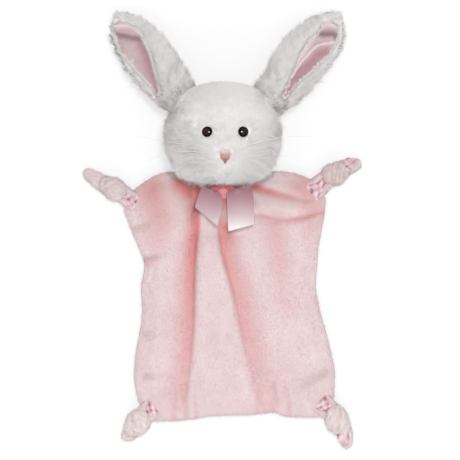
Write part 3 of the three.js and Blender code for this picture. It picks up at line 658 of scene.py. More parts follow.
def head_lean(spot, up, out, crown):
    """Which way the head's pile lies: away from the nose, over it close by, and down at the back."""
    front = step(spot[:, 2] - HEAD_CENTRE[2], -10, 14)
    reach = np.hypot(out[:, 0], out[:, 1])
    over_nose = 1.7 * (1 - step(reach, 3.6, 6.4)) * np.clip(0.7 + 0.5 * ripple(spot, 3, 12), 0, 1) * front
    lean = unit(out * (1, 1, 0)) * (front - over_nose)[:, None] + (1 - front)[:, None] * (0, -0.8, -0.2)
    lean[:, 1] -= 0.55 * step(reach, 10, 34) * front
    lean += swirl(spot, (19, 17, 20), 3) * np.where(crown, 0.05, 0.3)[:, None]
    return on_surface(lean, up)


def head_pile(spot, from_centre, crown, eye_gap, nose_gap):
    """Length of the head's pile: short round the eyes, the nose and the forehead's seam."""
    scaled = from_centre[:, :2] / (HEAD_HALF_WIDTH, HEAD_HALF_HEIGHT)
    length = FACE_PILE + (CHEEK_PILE - FACE_PILE) * step(nose_gap, 5, 32) * step(eye_gap, 4, 17)
    past_seam = step(path_gap(scaled, np.array(FOREHEAD))[0], 0.0, 0.45)
    length = SEAM_PILE + (length - SEAM_PILE) * np.where(from_centre[:, 2] > 0, past_seam, 1)
    length *= 1 - 0.5 * step(scaled[:, 1], 0.35, 0.85)
    return np.where(crown, CROWN_PILE, length) * (1 + 0.13 * ripple(spot, 9, 6))


def head_shade(spot, from_centre, out, crown):
    """How deep in shade each tuft lies: in rays round the nose, and at the places listed."""
    reach = np.hypot(out[:, 0], out[:, 1])
    turn = np.arctan2(out[:, 1], out[:, 0])
    rays = np.column_stack([26 * np.cos(turn), 26 * np.sin(turn), 0.35 * reach])
    shade = 0.33 * np.clip(ripple(rays, 6, 8) + 0.5 * ripple(rays, 3, 9), 0, 1) * step(reach, 10, 24)
    shade *= np.where(crown, 0.05, 1.0) * np.where(out[:, 0] > 0, 0.68, 1.0)
    uneven = 0.7 + 0.3 * np.clip(ripple(spot, 5, 10), -1, 1)
    for place, spread, depth in HEAD_SHADES:
        gap = np.hypot(*(from_centre[:, :2] - place).T) / spread
        shade = np.maximum(shade, depth * np.exp(-gap ** 2) * uneven)
    return np.clip(np.where(from_centre[:, 2] > 0, shade, 0), 0, 1)


def build_head():
    """The head's cloth, its filling, and five areas of pile."""
    skin = settle("head_plush", tube(96, 64, head_place), "skin", "head",
                  ("head_forehead", "head_cheek_left", "head_cheek_right", "head_back_left",
                   "head_back_right"))
    core = tube(32, 20, lambda *place: HEAD_CENTRE + (head_place(*place) - HEAD_CENTRE) * STUFFING_SHARE)
    settle("head_fill", core, "stuffing", "head", ("head_stuffing",))
    spot, up = roots_on(skin, 3.4, 11)
    from_centre = spot - HEAD_CENTRE
    out = from_centre - NOSE_CENTRE
    in_front, low_back = from_centre[:, 2] > 0, from_centre[:, 2] < 0
    crown = in_front & inside(from_centre / (HEAD_HALF_WIDTH, HEAD_HALF_HEIGHT, 1), FOREHEAD)
    eyes = [(FACE_SHIFT + side * EYE_SPREAD, -EYE_DROP) for side in (-1, 1)]
    eye_gap = np.minimum(*[np.hypot(*(from_centre[:, :2] - eye).T) for eye in eyes])
    eye_gap = np.where(in_front, eye_gap, FAR)
    nose_gap = np.where(in_front, np.hypot(out[:, 0], out[:, 1] * 0.95), FAR)
    keep = (eye_gap > EYE_RADIUS + 0.2) & (nose_gap > 2.7) & (spot[:, 2] > 1)
    lean = unit(head_lean(spot, up, out, crown))
    length = head_pile(spot, from_centre, crown, eye_gap, nose_gap)
    shade = head_shade(spot, from_centre, out, crown)
    thin = np.random.default_rng(5).random(len(spot))
    cheek, back = ~crown & keep & ~low_back & (thin < 0.72), keep & low_back & (thin < 0.55)
    regions = {
        "fur_crown": crown & keep,
        "fur_cheek_left": cheek & (from_centre[:, 0] < FACE_SHIFT),
        "fur_cheek_right": cheek & (from_centre[:, 0] >= FACE_SHIFT),
        "fur_back_left": back & (from_centre[:, 0] < 0),
        "fur_back_right": back & (from_centre[:, 0] >= 0),
    }
    # Each area's strands take the head's painted shade as their hollow mark
    for seed, (name, here) in enumerate(regions.items()):
        stand, width, finish, tuft = (0.5, 0.42, "crown", 0) if name == "fur_crown" else (0.3, 0.5, "fur", 18)
        plant(name, spot[here], up[here], stand * up[here] + lean[here], length[here], width, finish, "head",
              shade[here], seed=20 + seed, tuft=tuft, rise=0.16)


def build_eyes():
    """Two domed eyes, each on its shank, and the finish of their washers."""
    for side, label in ((-1, "left"), (1, "right")):
        x = FACE_SHIFT + side * EYE_SPREAD
        normal = face_normal(x, -EYE_DROP)
        seat = face_point(x, -EYE_DROP) + 0.6 * normal
        across = normal.orthogonal().normalized()
        other = normal.cross(across)

        def dome(share, cosine, sine):
            height = 2 * share - 1
            ring = EYE_RADIUS * math.sqrt(max(0, 1 - height * height))
            rise = height * (EYE_HEIGHT if height > 0 else 0.8)
            return seat + across * ring * cosine + other * ring * sine + normal * rise

        shape = tube(40, 28, dome)
        turn = normal.to_track_quat("Z", "Y").to_matrix().to_4x4()
        bmesh.ops.create_cone(shape, cap_ends=True, segments=16, radius1=1.3, radius2=1.3, depth=7.4,
                              matrix=Matrix.Translation(seat - normal * 4.3) @ turn)
        eye = settle(f"eye_dome_{label}", shape, "eye", "head", (f"eye_{label}",))
        off = places_of(eye) - np.array(seat)
        rise = off @ np.array(normal)
        spread = np.sqrt(np.maximum(0, (off ** 2).sum(axis=1) - rise ** 2))
        mark(eye, "ring", step(spread, 0.45 * EYE_RADIUS, 0.8 * EYE_RADIUS))
        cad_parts[f"eye_washer_{label}"].data.materials.clear()
        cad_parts[f"eye_washer_{label}"].data.materials.append(FINISHES["washer"])


NOSE_ROWS = [(0, 0.12), (0.05, 0.26), (0.14, 0.35), (0.3, 0.4), (0.5, 0.43), (0.68, 0.46), (0.82, 0.48),
             (0.93, 0.42), (1, 0.24)]


def build_nose():
    """The stitched nose and its short nap, with painted shade low on them, and the cleft under it: a dark
    stitch that also stands for painted shade.
    """
    def pad(share, cosine, sine):
        y = NOSE_TOP + NOSE_HEIGHT * (share - 1) + 0.2
        half = NOSE_WIDTH * along(NOSE_ROWS, share)
        base = face_point(FACE_SHIFT + half * cosine, y)
        return base + Vector((0, 0, 2.3 * sine * math.sqrt(max(0.02, 4 * share * (1 - share))) + 0.2))

    nose = settle("nose_pad", tube(36, 40, pad), "nose", "head", ("nose",))
    up = (places_of(nose)[:, 1] - HEAD_CENTRE[1] - NOSE_TOP + NOSE_HEIGHT) / NOSE_HEIGHT
    # Painted shade on the nose's lower part, lighter towards its top
    mark(nose, "hollow", (1 - step(up, 0.5, 0.78)) * (0.7 + 0.3 * (1 - step(up, 0.0, 0.3))))
    spot, above = roots_on(nose, 9.0, 15)
    front = above[:, 2] > -0.1
    spot, above = spot[front], above[front]
    height = (spot[:, 1] - HEAD_CENTRE[1] - NOSE_TOP + NOSE_HEIGHT) / NOSE_HEIGHT
    # The nap takes painted shade on the nose's lower part
    plant("nose_nap", spot, above, 0.7 * above + (0, -0.6, 0), np.full(len(spot), 1.5), 0.4, "nose_nap",
          "head",
          strand=SHORT_STRAND, seed=16, hollow=1 - step(height, 0.45, 0.85))
    low = NOSE_TOP - NOSE_HEIGHT

    def cleft(share, cosine, sine):
        y = low + 1.6 - 4.0 * share
        return face_point(FACE_SHIFT + 2.2 * (1 - 0.7 * share) * cosine, y) + Vector((0, 0, 0.7 * sine + 1.5))

    # A mouth stitch, widened and darkened as painted shade under the nose
    settle("mouth_stitch_shade", tube(16, 20, cleft), "mouth", "head", ("mouth_stitch",))


# Whisker roots and tips on the face, in shares of half the head's width and height, the tip's
# level in shares of half its depth, and how far the middle bows sideways in millimetres
WHISKERS = {
    "whisker_right_1": ((0.34, -0.3), (1.45, -0.1), 0.5, 2.5),
    "whisker_right_2": ((0.36, -0.42), (1.34, -0.62), 0.42, 2.0),
    "whisker_right_3": ((0.3, -0.52), (1.02, -0.98), 0.42, 3.0),
    "whisker_left_1": ((-0.34, -0.3), (-1.45, -0.1), 0.5, -1.0),
    "whisker_left_2": ((-0.36, -0.42), (-1.34, -0.62), 0.42, 4.0),
    "whisker_left_3": ((-0.3, -0.52), (-1.02, -0.98), 0.42, 3.5),
}


def build_whiskers():
    """Fine filaments that run over the face and then stand free."""
    for name, (root, tip, level, bow) in WHISKERS.items():
        place = [np.array((FACE_SHIFT + x * HEAD_HALF_WIDTH, y * HEAD_HALF_HEIGHT)) for x, y in (root, tip)]
        start = np.array(face_point(*place[0], -2.2))
        end = HEAD_CENTRE + (*place[1], level * HEAD_HALF_DEPTH)
        flat = [place[0] + (place[1] - place[0]) * share for share in np.linspace(0, 1, 13)]
        path = []
        for share, (x, y) in zip(np.linspace(0, 1, 13), flat):
            skin = face_point(x, y).z + 2.4 * min(1, 6 * share) if abs(x) < HEAD_HALF_WIDTH - 1 else 0
            z = max(skin, start[2] + (end[2] - start[2]) * share ** 2)
            path.append((x + HEAD_CENTRE[0], y + HEAD_CENTRE[1] + bow * math.sin(math.pi * share), z))
        path = np.array(path)
        path[0] = start

        def hair(share, cosine, sine):
            spot = [np.interp(share, np.linspace(0, 1, 13), path[:, k]) for k in range(3)]
            thin = 0.2 * (1 - 0.6 * share)
            return (spot[0] - thin * 0.3 * sine, spot[1] + thin * cosine, spot[2] + thin * sine)

        settle(f"{name}_hair", tube(5, 40, hair), "whisker", "head", (name,))


# Ears, each in its own frame: X to the middle of the head, Y to the tip, Z off the face. "spare"
# is how much wider than the other the pile stands on the inner side and at the tip
EARS = {
    "left": {"seat": (-34.883, 69.483, 35.5), "across": (0.822144, 0.56928, 0), "mirror": 1,
             "tip": (-0.53761, 0.776407, -0.328889), "spare": (0.0, 0.02), "shaggy": 0.34},
    "right": {"seat": (38.995, 67.283, 35.5), "across": (0.793353, -0.608761, 0), "mirror": -1,
              "tip": (0.574895, 0.749218, -0.328889), "spare": (2.4, 0.075), "shaggy": 0.1},
}
EAR_LENGTH, EAR_OUTER, EAR_INNER, EAR_THICKNESS = 90.0, 24.0, 19.5, 12.0
EAR_ROWS = [(-0.2, 0.62, 0.9, 0.9), (0, 0.78, 0.95, 1), (0.12, 0.9, 1, 1), (0.25, 0.97, 1.03, 0.95),
            (0.4, 1, 1.02, 0.9), (0.55, 1, 1, 0.85), (0.68, 0.94, 0.88, 0.8), (0.8, 0.82, 0.68, 0.72),
            (0.9, 0.64, 0.42, 0.66), (0.97, 0.36, 0.12, 0.58), (1, 0.16, -0.06, 0.45)]
EAR_FUR = 4.2

# Where the satin shows in each ear: share of its length, outer and inner edge in millimetres
LININGS = {
    "left": [(0.11, -13.4, -11.4), (0.25, -14.2, -6.4), (0.36, -15.2, -2.9), (0.49, -16.8, 0.8),
             (0.6, -18.0, 2.4),
             (0.7, -17.6, 3.6), (0.78, -15.8, 2.2), (0.85, -13.6, -1.6), (0.905, -10.8, -5.8)],
    "right": [(0.07, -9.0, -7.2), (0.2, -9.0, -4.2), (0.3, -9.8, -2.4), (0.42, -12.4, 0.4),
              (0.54, -13.9, 3.2),
              (0.65, -15.0, 3.6), (0.74, -15.4, 2.2), (0.84, -13.4, 2.4), (0.9, -9.8, 1.4),
              (0.935, -6.6, -2.0)],
}
# Satin folds in each ear: places across and along it in millimetres, rise, how far the fold reaches on
# the left and right of its way, and which painted tint it takes, of shade, shadow and highlight, and how much
LINING_FOLDS = {
    "left": [
        ([(-10.0, 81), (-1.2, 74), (2.8, 65), (4.4, 57)], 1.5, (2.0, 1.5), "painted_highlight", 0.75),
        ([(-14.5, 77), (-7.8, 70), (-1.8, 63.5), (3.2, 57)], -1.1, (1.7, 3.4), "painted_shadow", 0.85),
        ([(-16.6, 66), (-14.0, 75), (-11.6, 80.5)], -0.3, (1.3, 1.3), "painted_shadow", 0.75),
        ([(2.2, 56), (0.8, 44), (-2.7, 32.3), (-5.8, 22), (-11.2, 9)], 1.1, (1.6, 0.9), "painted_highlight", 0.8),
        ([(-0.8, 53), (-2.2, 44), (-5.0, 33), (-7.6, 22), (-11.6, 12)], -0.9, (1.2, 5.0), "hollow", 0.9),
        ([(-18.0, 54), (-15.4, 34), (-14.3, 21)], 0.5, (1.2, 1.6), "painted_highlight", 0.5),
    ],
    "right": [
        ([(-6.5, 83), (-1.0, 81), (2.0, 76)], 0.9, (3.0, 1.6), "painted_highlight", 0.5),
        ([(3.0, 69), (-3.6, 73.5), (-8.4, 77.5), (-13.0, 75.5)], -1.1, (2.6, 3.4), "painted_shadow", 0.95),
        ([(-14.2, 73), (-8.4, 66.5), (-3.6, 59.5), (-2.4, 48.7), (-1.8, 38.5), (-3.0, 26)], 1.4, (1.5, 0.9),
         "painted_highlight", 0.9),
        ([(2.4, 66), (2.0, 52), (0.4, 41)], 0.4, (2.6, 2.6), "painted_highlight", 0.5),
        ([(-13.2, 64), (-8.8, 57), (-7.2, 46), (-5.4, 34), (-5.8, 24), (-8.0, 12)], -1.0, (2.6, 5.2),
         "hollow", 0.95),
        ([(-15.0, 57), (-13.0, 40), (-10.0, 27)], 0.4, (1.2, 1.4), "painted_highlight", 0.35),
    ],
}


class EarFrame:
    """Turns an ear's own places into places on the whole object, and back."""

    def __init__(self, side):
        ear = EARS[side]
        self.side, self.mirror = side, ear["mirror"]
        self.seat, self.across, self.tip = (Vector(ear[part]) for part in ("seat", "across", "tip"))
        self.lift = self.across.cross(self.tip)
        self.wider, self.longer = ear["spare"]
        self.leaf_start, self.leaf_end = LININGS[side][0][0], LININGS[side][-1][0]
        self.tip_share = 0.985 + self.longer

    def place(self, m, share, z):
        """A place from millimetres across, a share of the length, and millimetres off the face."""
        return self.seat + self.across * (self.mirror * m) + self.tip * (share * EAR_LENGTH) + self.lift * z

    def own(self, places):
        """How many millimetres across the ear places are, and at what share of its length."""
        local = places - np.array(self.seat)
        return local @ np.array(self.across) * self.mirror, local @ np.array(self.tip) / EAR_LENGTH

    def section(self, share):
        """Outer and inner reach and thickness of the cloth inside the ear's pile."""
        share = share * (1 - self.longer)
        inner = EAR_INNER * along(EAR_ROWS, share, 2) + self.wider * step(share, 0.15, 0.4)
        return EAR_OUTER * along(EAR_ROWS, share, 1), inner, EAR_THICKNESS * along(EAR_ROWS, share, 3)

    def edges(self, share):
        """Outer and inner edge of the satin."""
        return along(LININGS[self.side], share, 1), along(LININGS[self.side], share, 2)

    def edge_gap(self, m, share):
        """How far a place is from the nearer edge of the satin."""
        low, high = self.edges(share)
        return np.minimum(np.abs(m - low), np.abs(m - high))

    def inward(self, m, share):
        """The way from the nearer edge of the satin to its middle line."""
        low, high = self.edges(share)
        return np.outer(np.sign((low + high) / 2 - m) * self.mirror, np.array(self.across))


def ear_skin(ear):
    """The ear's cloth, hollowed where the satin lies."""
    def place(share, cosine, sine):
        s = -0.1 + (0.1 + ear.tip_share) * share
        outer, inner, thick = ear.section(s)
        shrink = EAR_FUR * (1 - 0.3 * s)
        outer, inner = max(0.6, outer - shrink), max(0.6, inner - shrink)
        close = min(1.0, math.sqrt(max(0.0, 1 - max(0.0, (s - 0.82) / (ear.tip_share - 0.82)) ** 2)))
        m = (inner - outer) / 2 + (inner + outer) / 2 * close * cosine
        low, high = ear.edges(s)
        on_leaf = ear.leaf_start - 0.02 < s < ear.leaf_end + 0.02
        hollow = math.exp(-(((m - (low + high) / 2) / max(4.0, 0.62 * (high - low))) ** 4)) if on_leaf else 0
        z = -thick / 2 + sine * (thick / 2 - 2.0)
        if sine > 0:
            z -= min(4.6, 0.8 * thick) * sine * hollow
        return ear.place(m, s, z)

    return tube(64, 60, place)


def outwardness(m):
    """How far out a place on an ear is, below zero on its outer side."""
    return np.clip((m - (EAR_INNER - EAR_OUTER) / 2) / 20, -1.2, 1.2)


def ear_lean(ear, spot, up, beside):
    """Which way an ear's pile lies: tipward and outward, fanned round the tip, over the satin's edge."""
    m, s = ear.own(spot)
    across, tip, lift = (np.array(way) for way in (ear.across, ear.tip, ear.lift))
    lean = tip * (0.55 + 0.15 * step(s, -0.05, 0.4))[:, None]
    lean += 0.95 * np.outer(outwardness(m) * ear.mirror, across)
    fan = unit(spot - np.array(ear.place(-3.5, 0.8, -4)))
    lean += step(s, 0.72, 0.95)[:, None] * (fan - lean)
    lean = on_surface(lean + 0.34 * swirl(spot, (15, 16, 14), 41), up)
    over_leaf = (0.5 + 0.35 * np.clip(ripple(spot, 4, 51), -1, 1))[:, None] * ear.inward(m, s)
    return unit(np.where(beside[:, None], over_leaf + 0.5 * tip + 0.5 * lift, lean))


def ear_pile(ear, spot, facing, beside):
    """Length of an ear's pile: longest at its sides, short at the blunt tip and beside the satin."""
    m, s = ear.own(spot)
    out = outwardness(m)
    uneven = (0.16 * ripple(spot, 8, 44) + 0.14 * ripple(spot, 4, 47)) * (1 - 0.8 * step(s, 0.85, 0.95))
    length = (6.0 + 1.8 * np.abs(out)) * (1 + uneven)
    length *= 1 - 0.5 * np.exp(-((m + 2.5) / 4.5) ** 2) * step(s, ear.tip_share - 0.07, ear.tip_share)
    length *= np.where(facing > 0.3, 0.8, 1.0)
    length *= 1 + EARS[ear.side]["shaggy"] * step(-out, 0.35, 0.8) * step(s, 0.15, 0.35)
    return np.where(beside, 0.68 * length, length)


def ear_shade(spot, s):
    """How deep in shade the tufts of an ear lie, most of all at the head."""
    seam = 0.95 * (1 - step(s, -0.02, 0.13)) * (0.7 + 0.3 * np.clip(ripple(spot, 6, 45), -1, 1))
    patch = 0.2 * np.clip(0.3 + ripple(spot, 6, 48) + 0.5 * ripple(spot, 3.5, 49), 0, 1)
    base = 0.5 * np.exp(-((s - 0.17) / 0.12) ** 2) * np.clip(ripple(spot, 4, 50) + 0.5, 0, 1)
    return np.clip(np.maximum(np.maximum(seam, patch), base), 0, 1)


def plant_ear_fur(ear, skin):
    """Pile all over the ear but where the satin shows."""
    spot, up = roots_on(skin, 2.5, 31 if ear.side == "left" else 32)
    m, s = ear.own(spot)
    low, high = ear.edges(s)
    facing = up @ np.array(ear.lift)
    level = (facing > 0.2) & (s > ear.leaf_start) & (s < ear.leaf_end)
    beside = level & (ear.edge_gap(m, s) < 2.2)
    bare = level & (m > low + 1.0) & (m < high - 1.0)
    bare &= (s > ear.leaf_start + 0.01) & (s < ear.leaf_end - 0.005)
    keep = ~bare & (spot[:, 2] > 0.4)
    lean, length = ear_lean(ear, spot, up, beside), ear_pile(ear, spot, facing, beside)
    # The ear's shade is painted into the strands' colour as their hollow mark
    return plant(f"ear_{ear.side}_fur", spot[keep], up[keep], 0.32 * up[keep] + lean[keep], length[keep],
                 0.46,
                 "fur", None, ear_shade(spot, s)[keep], seed=33, tuft=10, rise=0.2)


def plant_ear_fringe(ear, leaf):
    """Short strands along the satin's edge, over it."""
    spot, up = roots_on(leaf, 9.0, 35)
    m, s = ear.own(spot)
    here = (ear.edge_gap(m, s) < 0.7) & (up @ np.array(ear.lift) > 0.2)
    lean = 0.7 * np.clip(ripple(spot, 5, 36), -0.5, 1)[:, None] * ear.inward(m, s)
    lean += 0.8 * np.array(ear.tip) + 0.25 * up
    even = np.ones(here.sum())
    # Faint painted shade on the fringe's strands
    return plant(f"ear_{ear.side}_fringe", spot[here], up[here], lean[here], 2.6 * even, 0.42, "fur", None,
                 0.1 * even, seed=37, rise=0.2, loose=0.35)


def lining_relief(side, places):
    """Height of the satin's folds, and how much of each painted tint they take, over places in the ear."""
    height = 0.16 * ripple(places, 7, 46)
    tints = {label: np.zeros(len(places)) for label in ("hollow", "painted_shadow", "painted_highlight")}
    for path, rise, (left, right), label, amount in LINING_FOLDS[side]:
        off, hand, _ = path_gap(places, rounded(path, 16))
        shape = np.exp(-(off / np.where(hand > 0, left, right)) ** 2)
        height += rise * shape
        tints[label] = np.maximum(tints[label], amount * shape)
    return height, tints


def build_lining(ear):
    """The satin leaf in an ear, with its folds and its slightly curled edges."""
    columns, lines = 56, 96
    share = np.linspace(ear.leaf_start, ear.leaf_end, lines + 1)
    low, high = ear.edges(share)
    low, high = low[:, None] - 0.6, high[:, None] + 0.6
    u = np.linspace(0, 1, columns + 1)
    m = low + (high - low) * u
    places = np.stack([m, np.repeat(share[:, None] * EAR_LENGTH, columns + 1, axis=1)], axis=-1).reshape(-1,
                                                                                                         2)
    curl = 0.2 * ((2 * u - 1) ** 2)[None] * np.minimum(1, (high - low) / 12)
    height = lining_relief(ear.side, places)[0] - 3.3 + curl.ravel()

    def leaf_place(flat):
        k = round(flat.y * lines) * (columns + 1) + round(flat.x * columns)
        return ear.place(places[k][0], places[k][1] / EAR_LENGTH, height[k])

    leaf = settle(f"ear_{ear.side}_satin", thicken(sheet_of(columns, lines, leaf_place), 0.6), "ear_satin",
                  None,
                  (f"ear_{ear.side}_lining",))
    m, s = ear.own(places_of(leaf))
    # Painted shade, painted shadow and painted highlight of the folds, stored for the satin's colour
    for label, values in lining_relief(ear.side, np.column_stack([m, s * EAR_LENGTH]))[1].items():
        mark(leaf, label, values)
    return leaf


def build_ear(side):
    """An ear's pad, satin and pile."""
    ear = EarFrame(side)
    skin = settle(f"ear_{side}_plush_pad", ear_skin(ear), "ear_skin", None,
                  (f"ear_{side}_plush",))
    leaf = build_lining(ear)
    start, end = (ear.seat - 3.0 * ear.tip) * MM, (ear.seat + 8.0 * ear.tip) * MM
    for piece in (skin, leaf, plant_ear_fur(ear, skin), plant_ear_fringe(ear, leaf)):
        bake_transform(piece)
        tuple(start)
        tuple(end)


# Blanket
# Its outline in shares of half its width and of its length, going round from the top left
BLANKET_SHIFT, BLANKET_HALF_WIDTH, BLANKET_LENGTH, BLANKET_TOP = 4.2, 84.0, 196.0, 9.0
TOP_EDGE = [(-0.898, 0.081), (-0.84, 0.062), (-0.764, 0.038), (-0.66, 0.015), (-0.526, 0.003), (-0.26, 0),
            (0.217, 0), (0.388, 0), (0.588, 0.005), (0.693, 0.017), (0.788, 0.032)]
RIGHT_EDGE = [(0.931, 0.111), (0.92, 0.17), (0.898, 0.226), (0.864, 0.307), (0.845, 0.401), (0.839, 0.483),
              (0.874, 0.564), (0.94, 0.666), (0.988, 0.748), (1.017, 0.817), (1.012, 0.915)]
BOTTOM_EDGE = [(0.864, 1), (0.674, 1), (0.54, 0.995), (0.455, 0.98), (0.331, 0.985), (0.169, 0.991),
               (-0.05, 0.993), (-0.221, 0.999), (-0.402, 1.011), (-0.679, 1.017)]
LEFT_EDGE = [(-0.833, 0.937), (-0.864, 0.891), (-0.879, 0.83), (-0.864, 0.74), (-0.826, 0.654),
             (-0.802, 0.572), (-0.812, 0.474), (-0.78, 0.385), (-0.826, 0.319), (-0.888, 0.258),
             (-0.978, 0.158)]
NECK_X, NECK_Y, NECK_Z, NECK_RADIUS = 0.8, -10.3, 19.6, 9.0


def on_blanket(across, down):
    """A place from shares of half the blanket's width and of its length."""
    return np.array((BLANKET_SHIFT + across * BLANKET_HALF_WIDTH, BLANKET_TOP - down * BLANKET_LENGTH))


def blanket_edges(count):
    """The four sides, each from one corner's throat to the next."""
    sides = [[on_blanket(*share) for share in edge] for edge in (TOP_EDGE, RIGHT_EDGE, BOTTOM_EDGE,
                                                                 LEFT_EDGE)]
    middles = [(sides[k - 1][-1] + sides[k][0]) / 2 for k in range(4)]
    lines = []
    for k, side in enumerate(sides):
        lines.append(np.concatenate([[middles[k]], rounded(side, count - 2), [middles[(k + 1) % 4]]]))
    return lines


# Folds of the plush: path in millimetres, and at its two ends the rise, the reach on the left and on
# the right of the path's way, and how deep its painted pink shade is, or below zero its painted grey shadow
FOLDS = [
    ([(-17.6, -4), (-19.2, -33.6), (-21.2, -53.6), (-22.4, -73.6), (-22.8, -93.6), (-23.6, -113.6),
      (-25.2, -133.6),
      (-27.5, -153.6), (-29, -168)], (-6.0, -1.6), (1.5, 2.6), (7.5, 14.0), (1.0, 0.3)),
    ([(-12, -30), (-13.5, -60), (-15, -100), (-17, -150)], (2.6, 1.2), (6, 8), (5, 6), (0, 0)),
    ([(-34, -2), (-25, -7)], (-1.5, -1.5), (7, 7), (8, 8), (0.75, 0.9)),
    ([(-2.4, -34), (0, -53.6), (5.6, -73.6), (11.2, -93.6), (15.6, -113.6), (20.4, -133.6), (25.6, -153.6),
      (30.4, -175)], (-5.0, -1.6), (10.5, 17), (1.8, 4.0), (0.66, 0.22)),
    ([(2, -36), (5, -46)], (-1.5, -0.5), (7, 7), (4, 4), (0.85, 0.55)),
    ([(-9, -50), (-2, -80), (2, -120), (4, -165)], (2.0, 1.0), (8, 9), (8, 9), (0, 0)),
    ([(24, -50), (32, -90), (40, -130), (46, -165)], (2.0, 1.0), (9, 9), (9, 9), (0, 0)),
    ([(42, -34), (46, -60), (52, -98)], (-1.8, -0.8), (10, 10), (9, 9), (0.3, 0.12)),
    ([(26, -3), (42.4, -8), (54.4, -11.2), (68, -13.6)], (-3.8, -1.4), (3.2, 2.6), (4.6, 3.4), (0.85, 0.3)),
    ([(29, -18), (52, -21), (76, -18)], (2.6, 1.6), (5, 5), (5, 5), (0, 0)),
    ([(30.4, -25.6), (42.4, -28.8), (54.4, -29.2), (66.4, -27.2), (80, -23)], (-2.6, -3.4), (1.6, 1.6),
     (4.5, 3.0),
     (0.3, 0.6)),
    ([(-70, -36), (-62, -33), (-52, -25)], (-3.2, -0.8), (2.2, 4), (4, 4), (-0.3, -0.05)),
    ([(-63, -62), (-49, -57)], (-4.2, -0.8), (2.4, 3.4), (2.2, 3), (-0.75, -0.1)),
    ([(-60, -65), (-50, -61)], (0.4, 0.4), (2.2, 2.2), (2.6, 2.6), (0.3, 0.1)),
    ([(-61, -121), (-51, -120)], (-1.8, -0.5), (3.5, 3.5), (4, 4), (-0.25, -0.05)),
    ([(-61, -154), (-52, -155)], (-2.2, -0.5), (2.2, 3.5), (4, 4), (-0.4, -0.05)),
    ([(83, -153), (72, -158), (60, -163)], (-3.0, -0.8), (3.0, 4.0), (4, 5), (-0.35, -0.05)),
    ([(-56, -6), (-50, -24), (-52, -44)], (-0.8, -0.4), (13, 11), (13, 11), (0.5, 0.2)),
    ([(-58, -4), (-54, -24), (-54, -40)], (0, 0), (14, 10), (14, 10), (-0.26, -0.06)),
    ([(62, -2), (70, -16), (70, -34)], (0, 0), (12, 9), (12, 9), (-0.16, -0.05)),
    ([(66, -4), (72, -20), (70, -40)], (-0.5, -0.3), (12, 9), (12, 9), (0.42, 0.16)),
]
# Gathers in the lower edge: upper and lower place, then at both the rise, the reach and the painted shade
GATHERS = [
    (-40, -162, -38, -192, -1.0, -2.0, 2.6, 2.4, 0.12, 0.28),
    (-34.5, -164, -33, -192, 0.8, 1.6, 2.2, 2.0, 0, 0),
    (-30, -162, -28.5, -192, -0.9, -1.8, 2.4, 2.2, 0.15, 0.3),
    (-25.5, -168, -24.5, -192, 0.6, 1.4, 2.0, 1.8, 0, 0),
    (-21, -170, -20.5, -191, -0.6, -1.4, 2.2, 2.0, 0.05, 0.2),
    (28, -166, 29, -188, -0.9, -1.9, 2.6, 2.2, 0.12, 0.28),
    (34, -166, 35, -188, 0.8, 1.5, 2.2, 2.0, 0, 0), (40, -160, 42, -188, -1.0, -1.9, 2.6, 2.2, 0.12, 0.28),
    (45, -160, 48, -188, 0.8, 1.5, 2.2, 2.0, 0, 0), (51, -160, 54, -186, -0.9, -1.8, 2.6, 2.2, 0.08, 0.25),
]
FOLDS += [([row[0:2], row[2:4]], row[4:6], row[6:8], row[6:8], row[8:10]) for row in GATHERS]
# Levels of the blanket's underside, of its plush face and of its rim; how far in the rim is rolled, how
# high it starts above the underside, and how softly the gathers at the neck join the face
SHEET_LOW, SHEET_HIGH, RIM_HIGH = 1.6, 7.6, 3.6
RIM_ROLL, RIM_START, SOFT_JOIN = 3.2, 0.9, 2.2


def gather_top(places):
    """The plush drawn up to the neck in pleats."""
    off_x, share = places[:, 0] - NECK_X, np.clip((NECK_Y - places[:, 1]) / 34, 0, 1)
    fall = step(share, 0, 1)
    wide = NECK_RADIUS + 22 * share ** 0.75
    top = NECK_Z + (RIM_HIGH - NECK_Z) * fall
    tall = NECK_RADIUS + (RIM_HIGH / 2 - NECK_RADIUS) * fall
    angle = off_x / wide
    pleat = 1 + (0.1 * np.cos(15 * np.arcsin(np.clip(angle, -1, 1)))) * (1 - 0.6 * share)
    dome = top + tall * np.sqrt(np.clip(1 - angle ** 2, 0, 1)) * pleat
    side = step(np.abs(angle), 0.9, 1.35)
    dome = np.where(np.abs(angle) > 0.93, dome * (1 - side), dome)
    return dome * step(-places[:, 1], 10.2, 12.6) * (1 - step(share, 0.86, 1))


def fold_relief(places):
    """Rise of the folds, how much painted shade deepens the colour in them, and how much painted shadow greys
    it.
    """
    rise, hollow, painted_fold_shadow = np.zeros((3, len(places)))
    for path, *ends in FOLDS:
        off, hand, reached = path_gap(places, rounded(path, 14))
        lift, left, right, colour = (first + (last - first) * reached for first, last in ends)
        shape = np.exp(-(off / np.where(hand > 0, left, right)) ** 2)
        rise += lift * shape
        hollow = np.maximum(hollow, colour * shape)
        painted_fold_shadow = np.maximum(painted_fold_shadow, -colour * shape)
    return rise, hollow, painted_fold_shadow


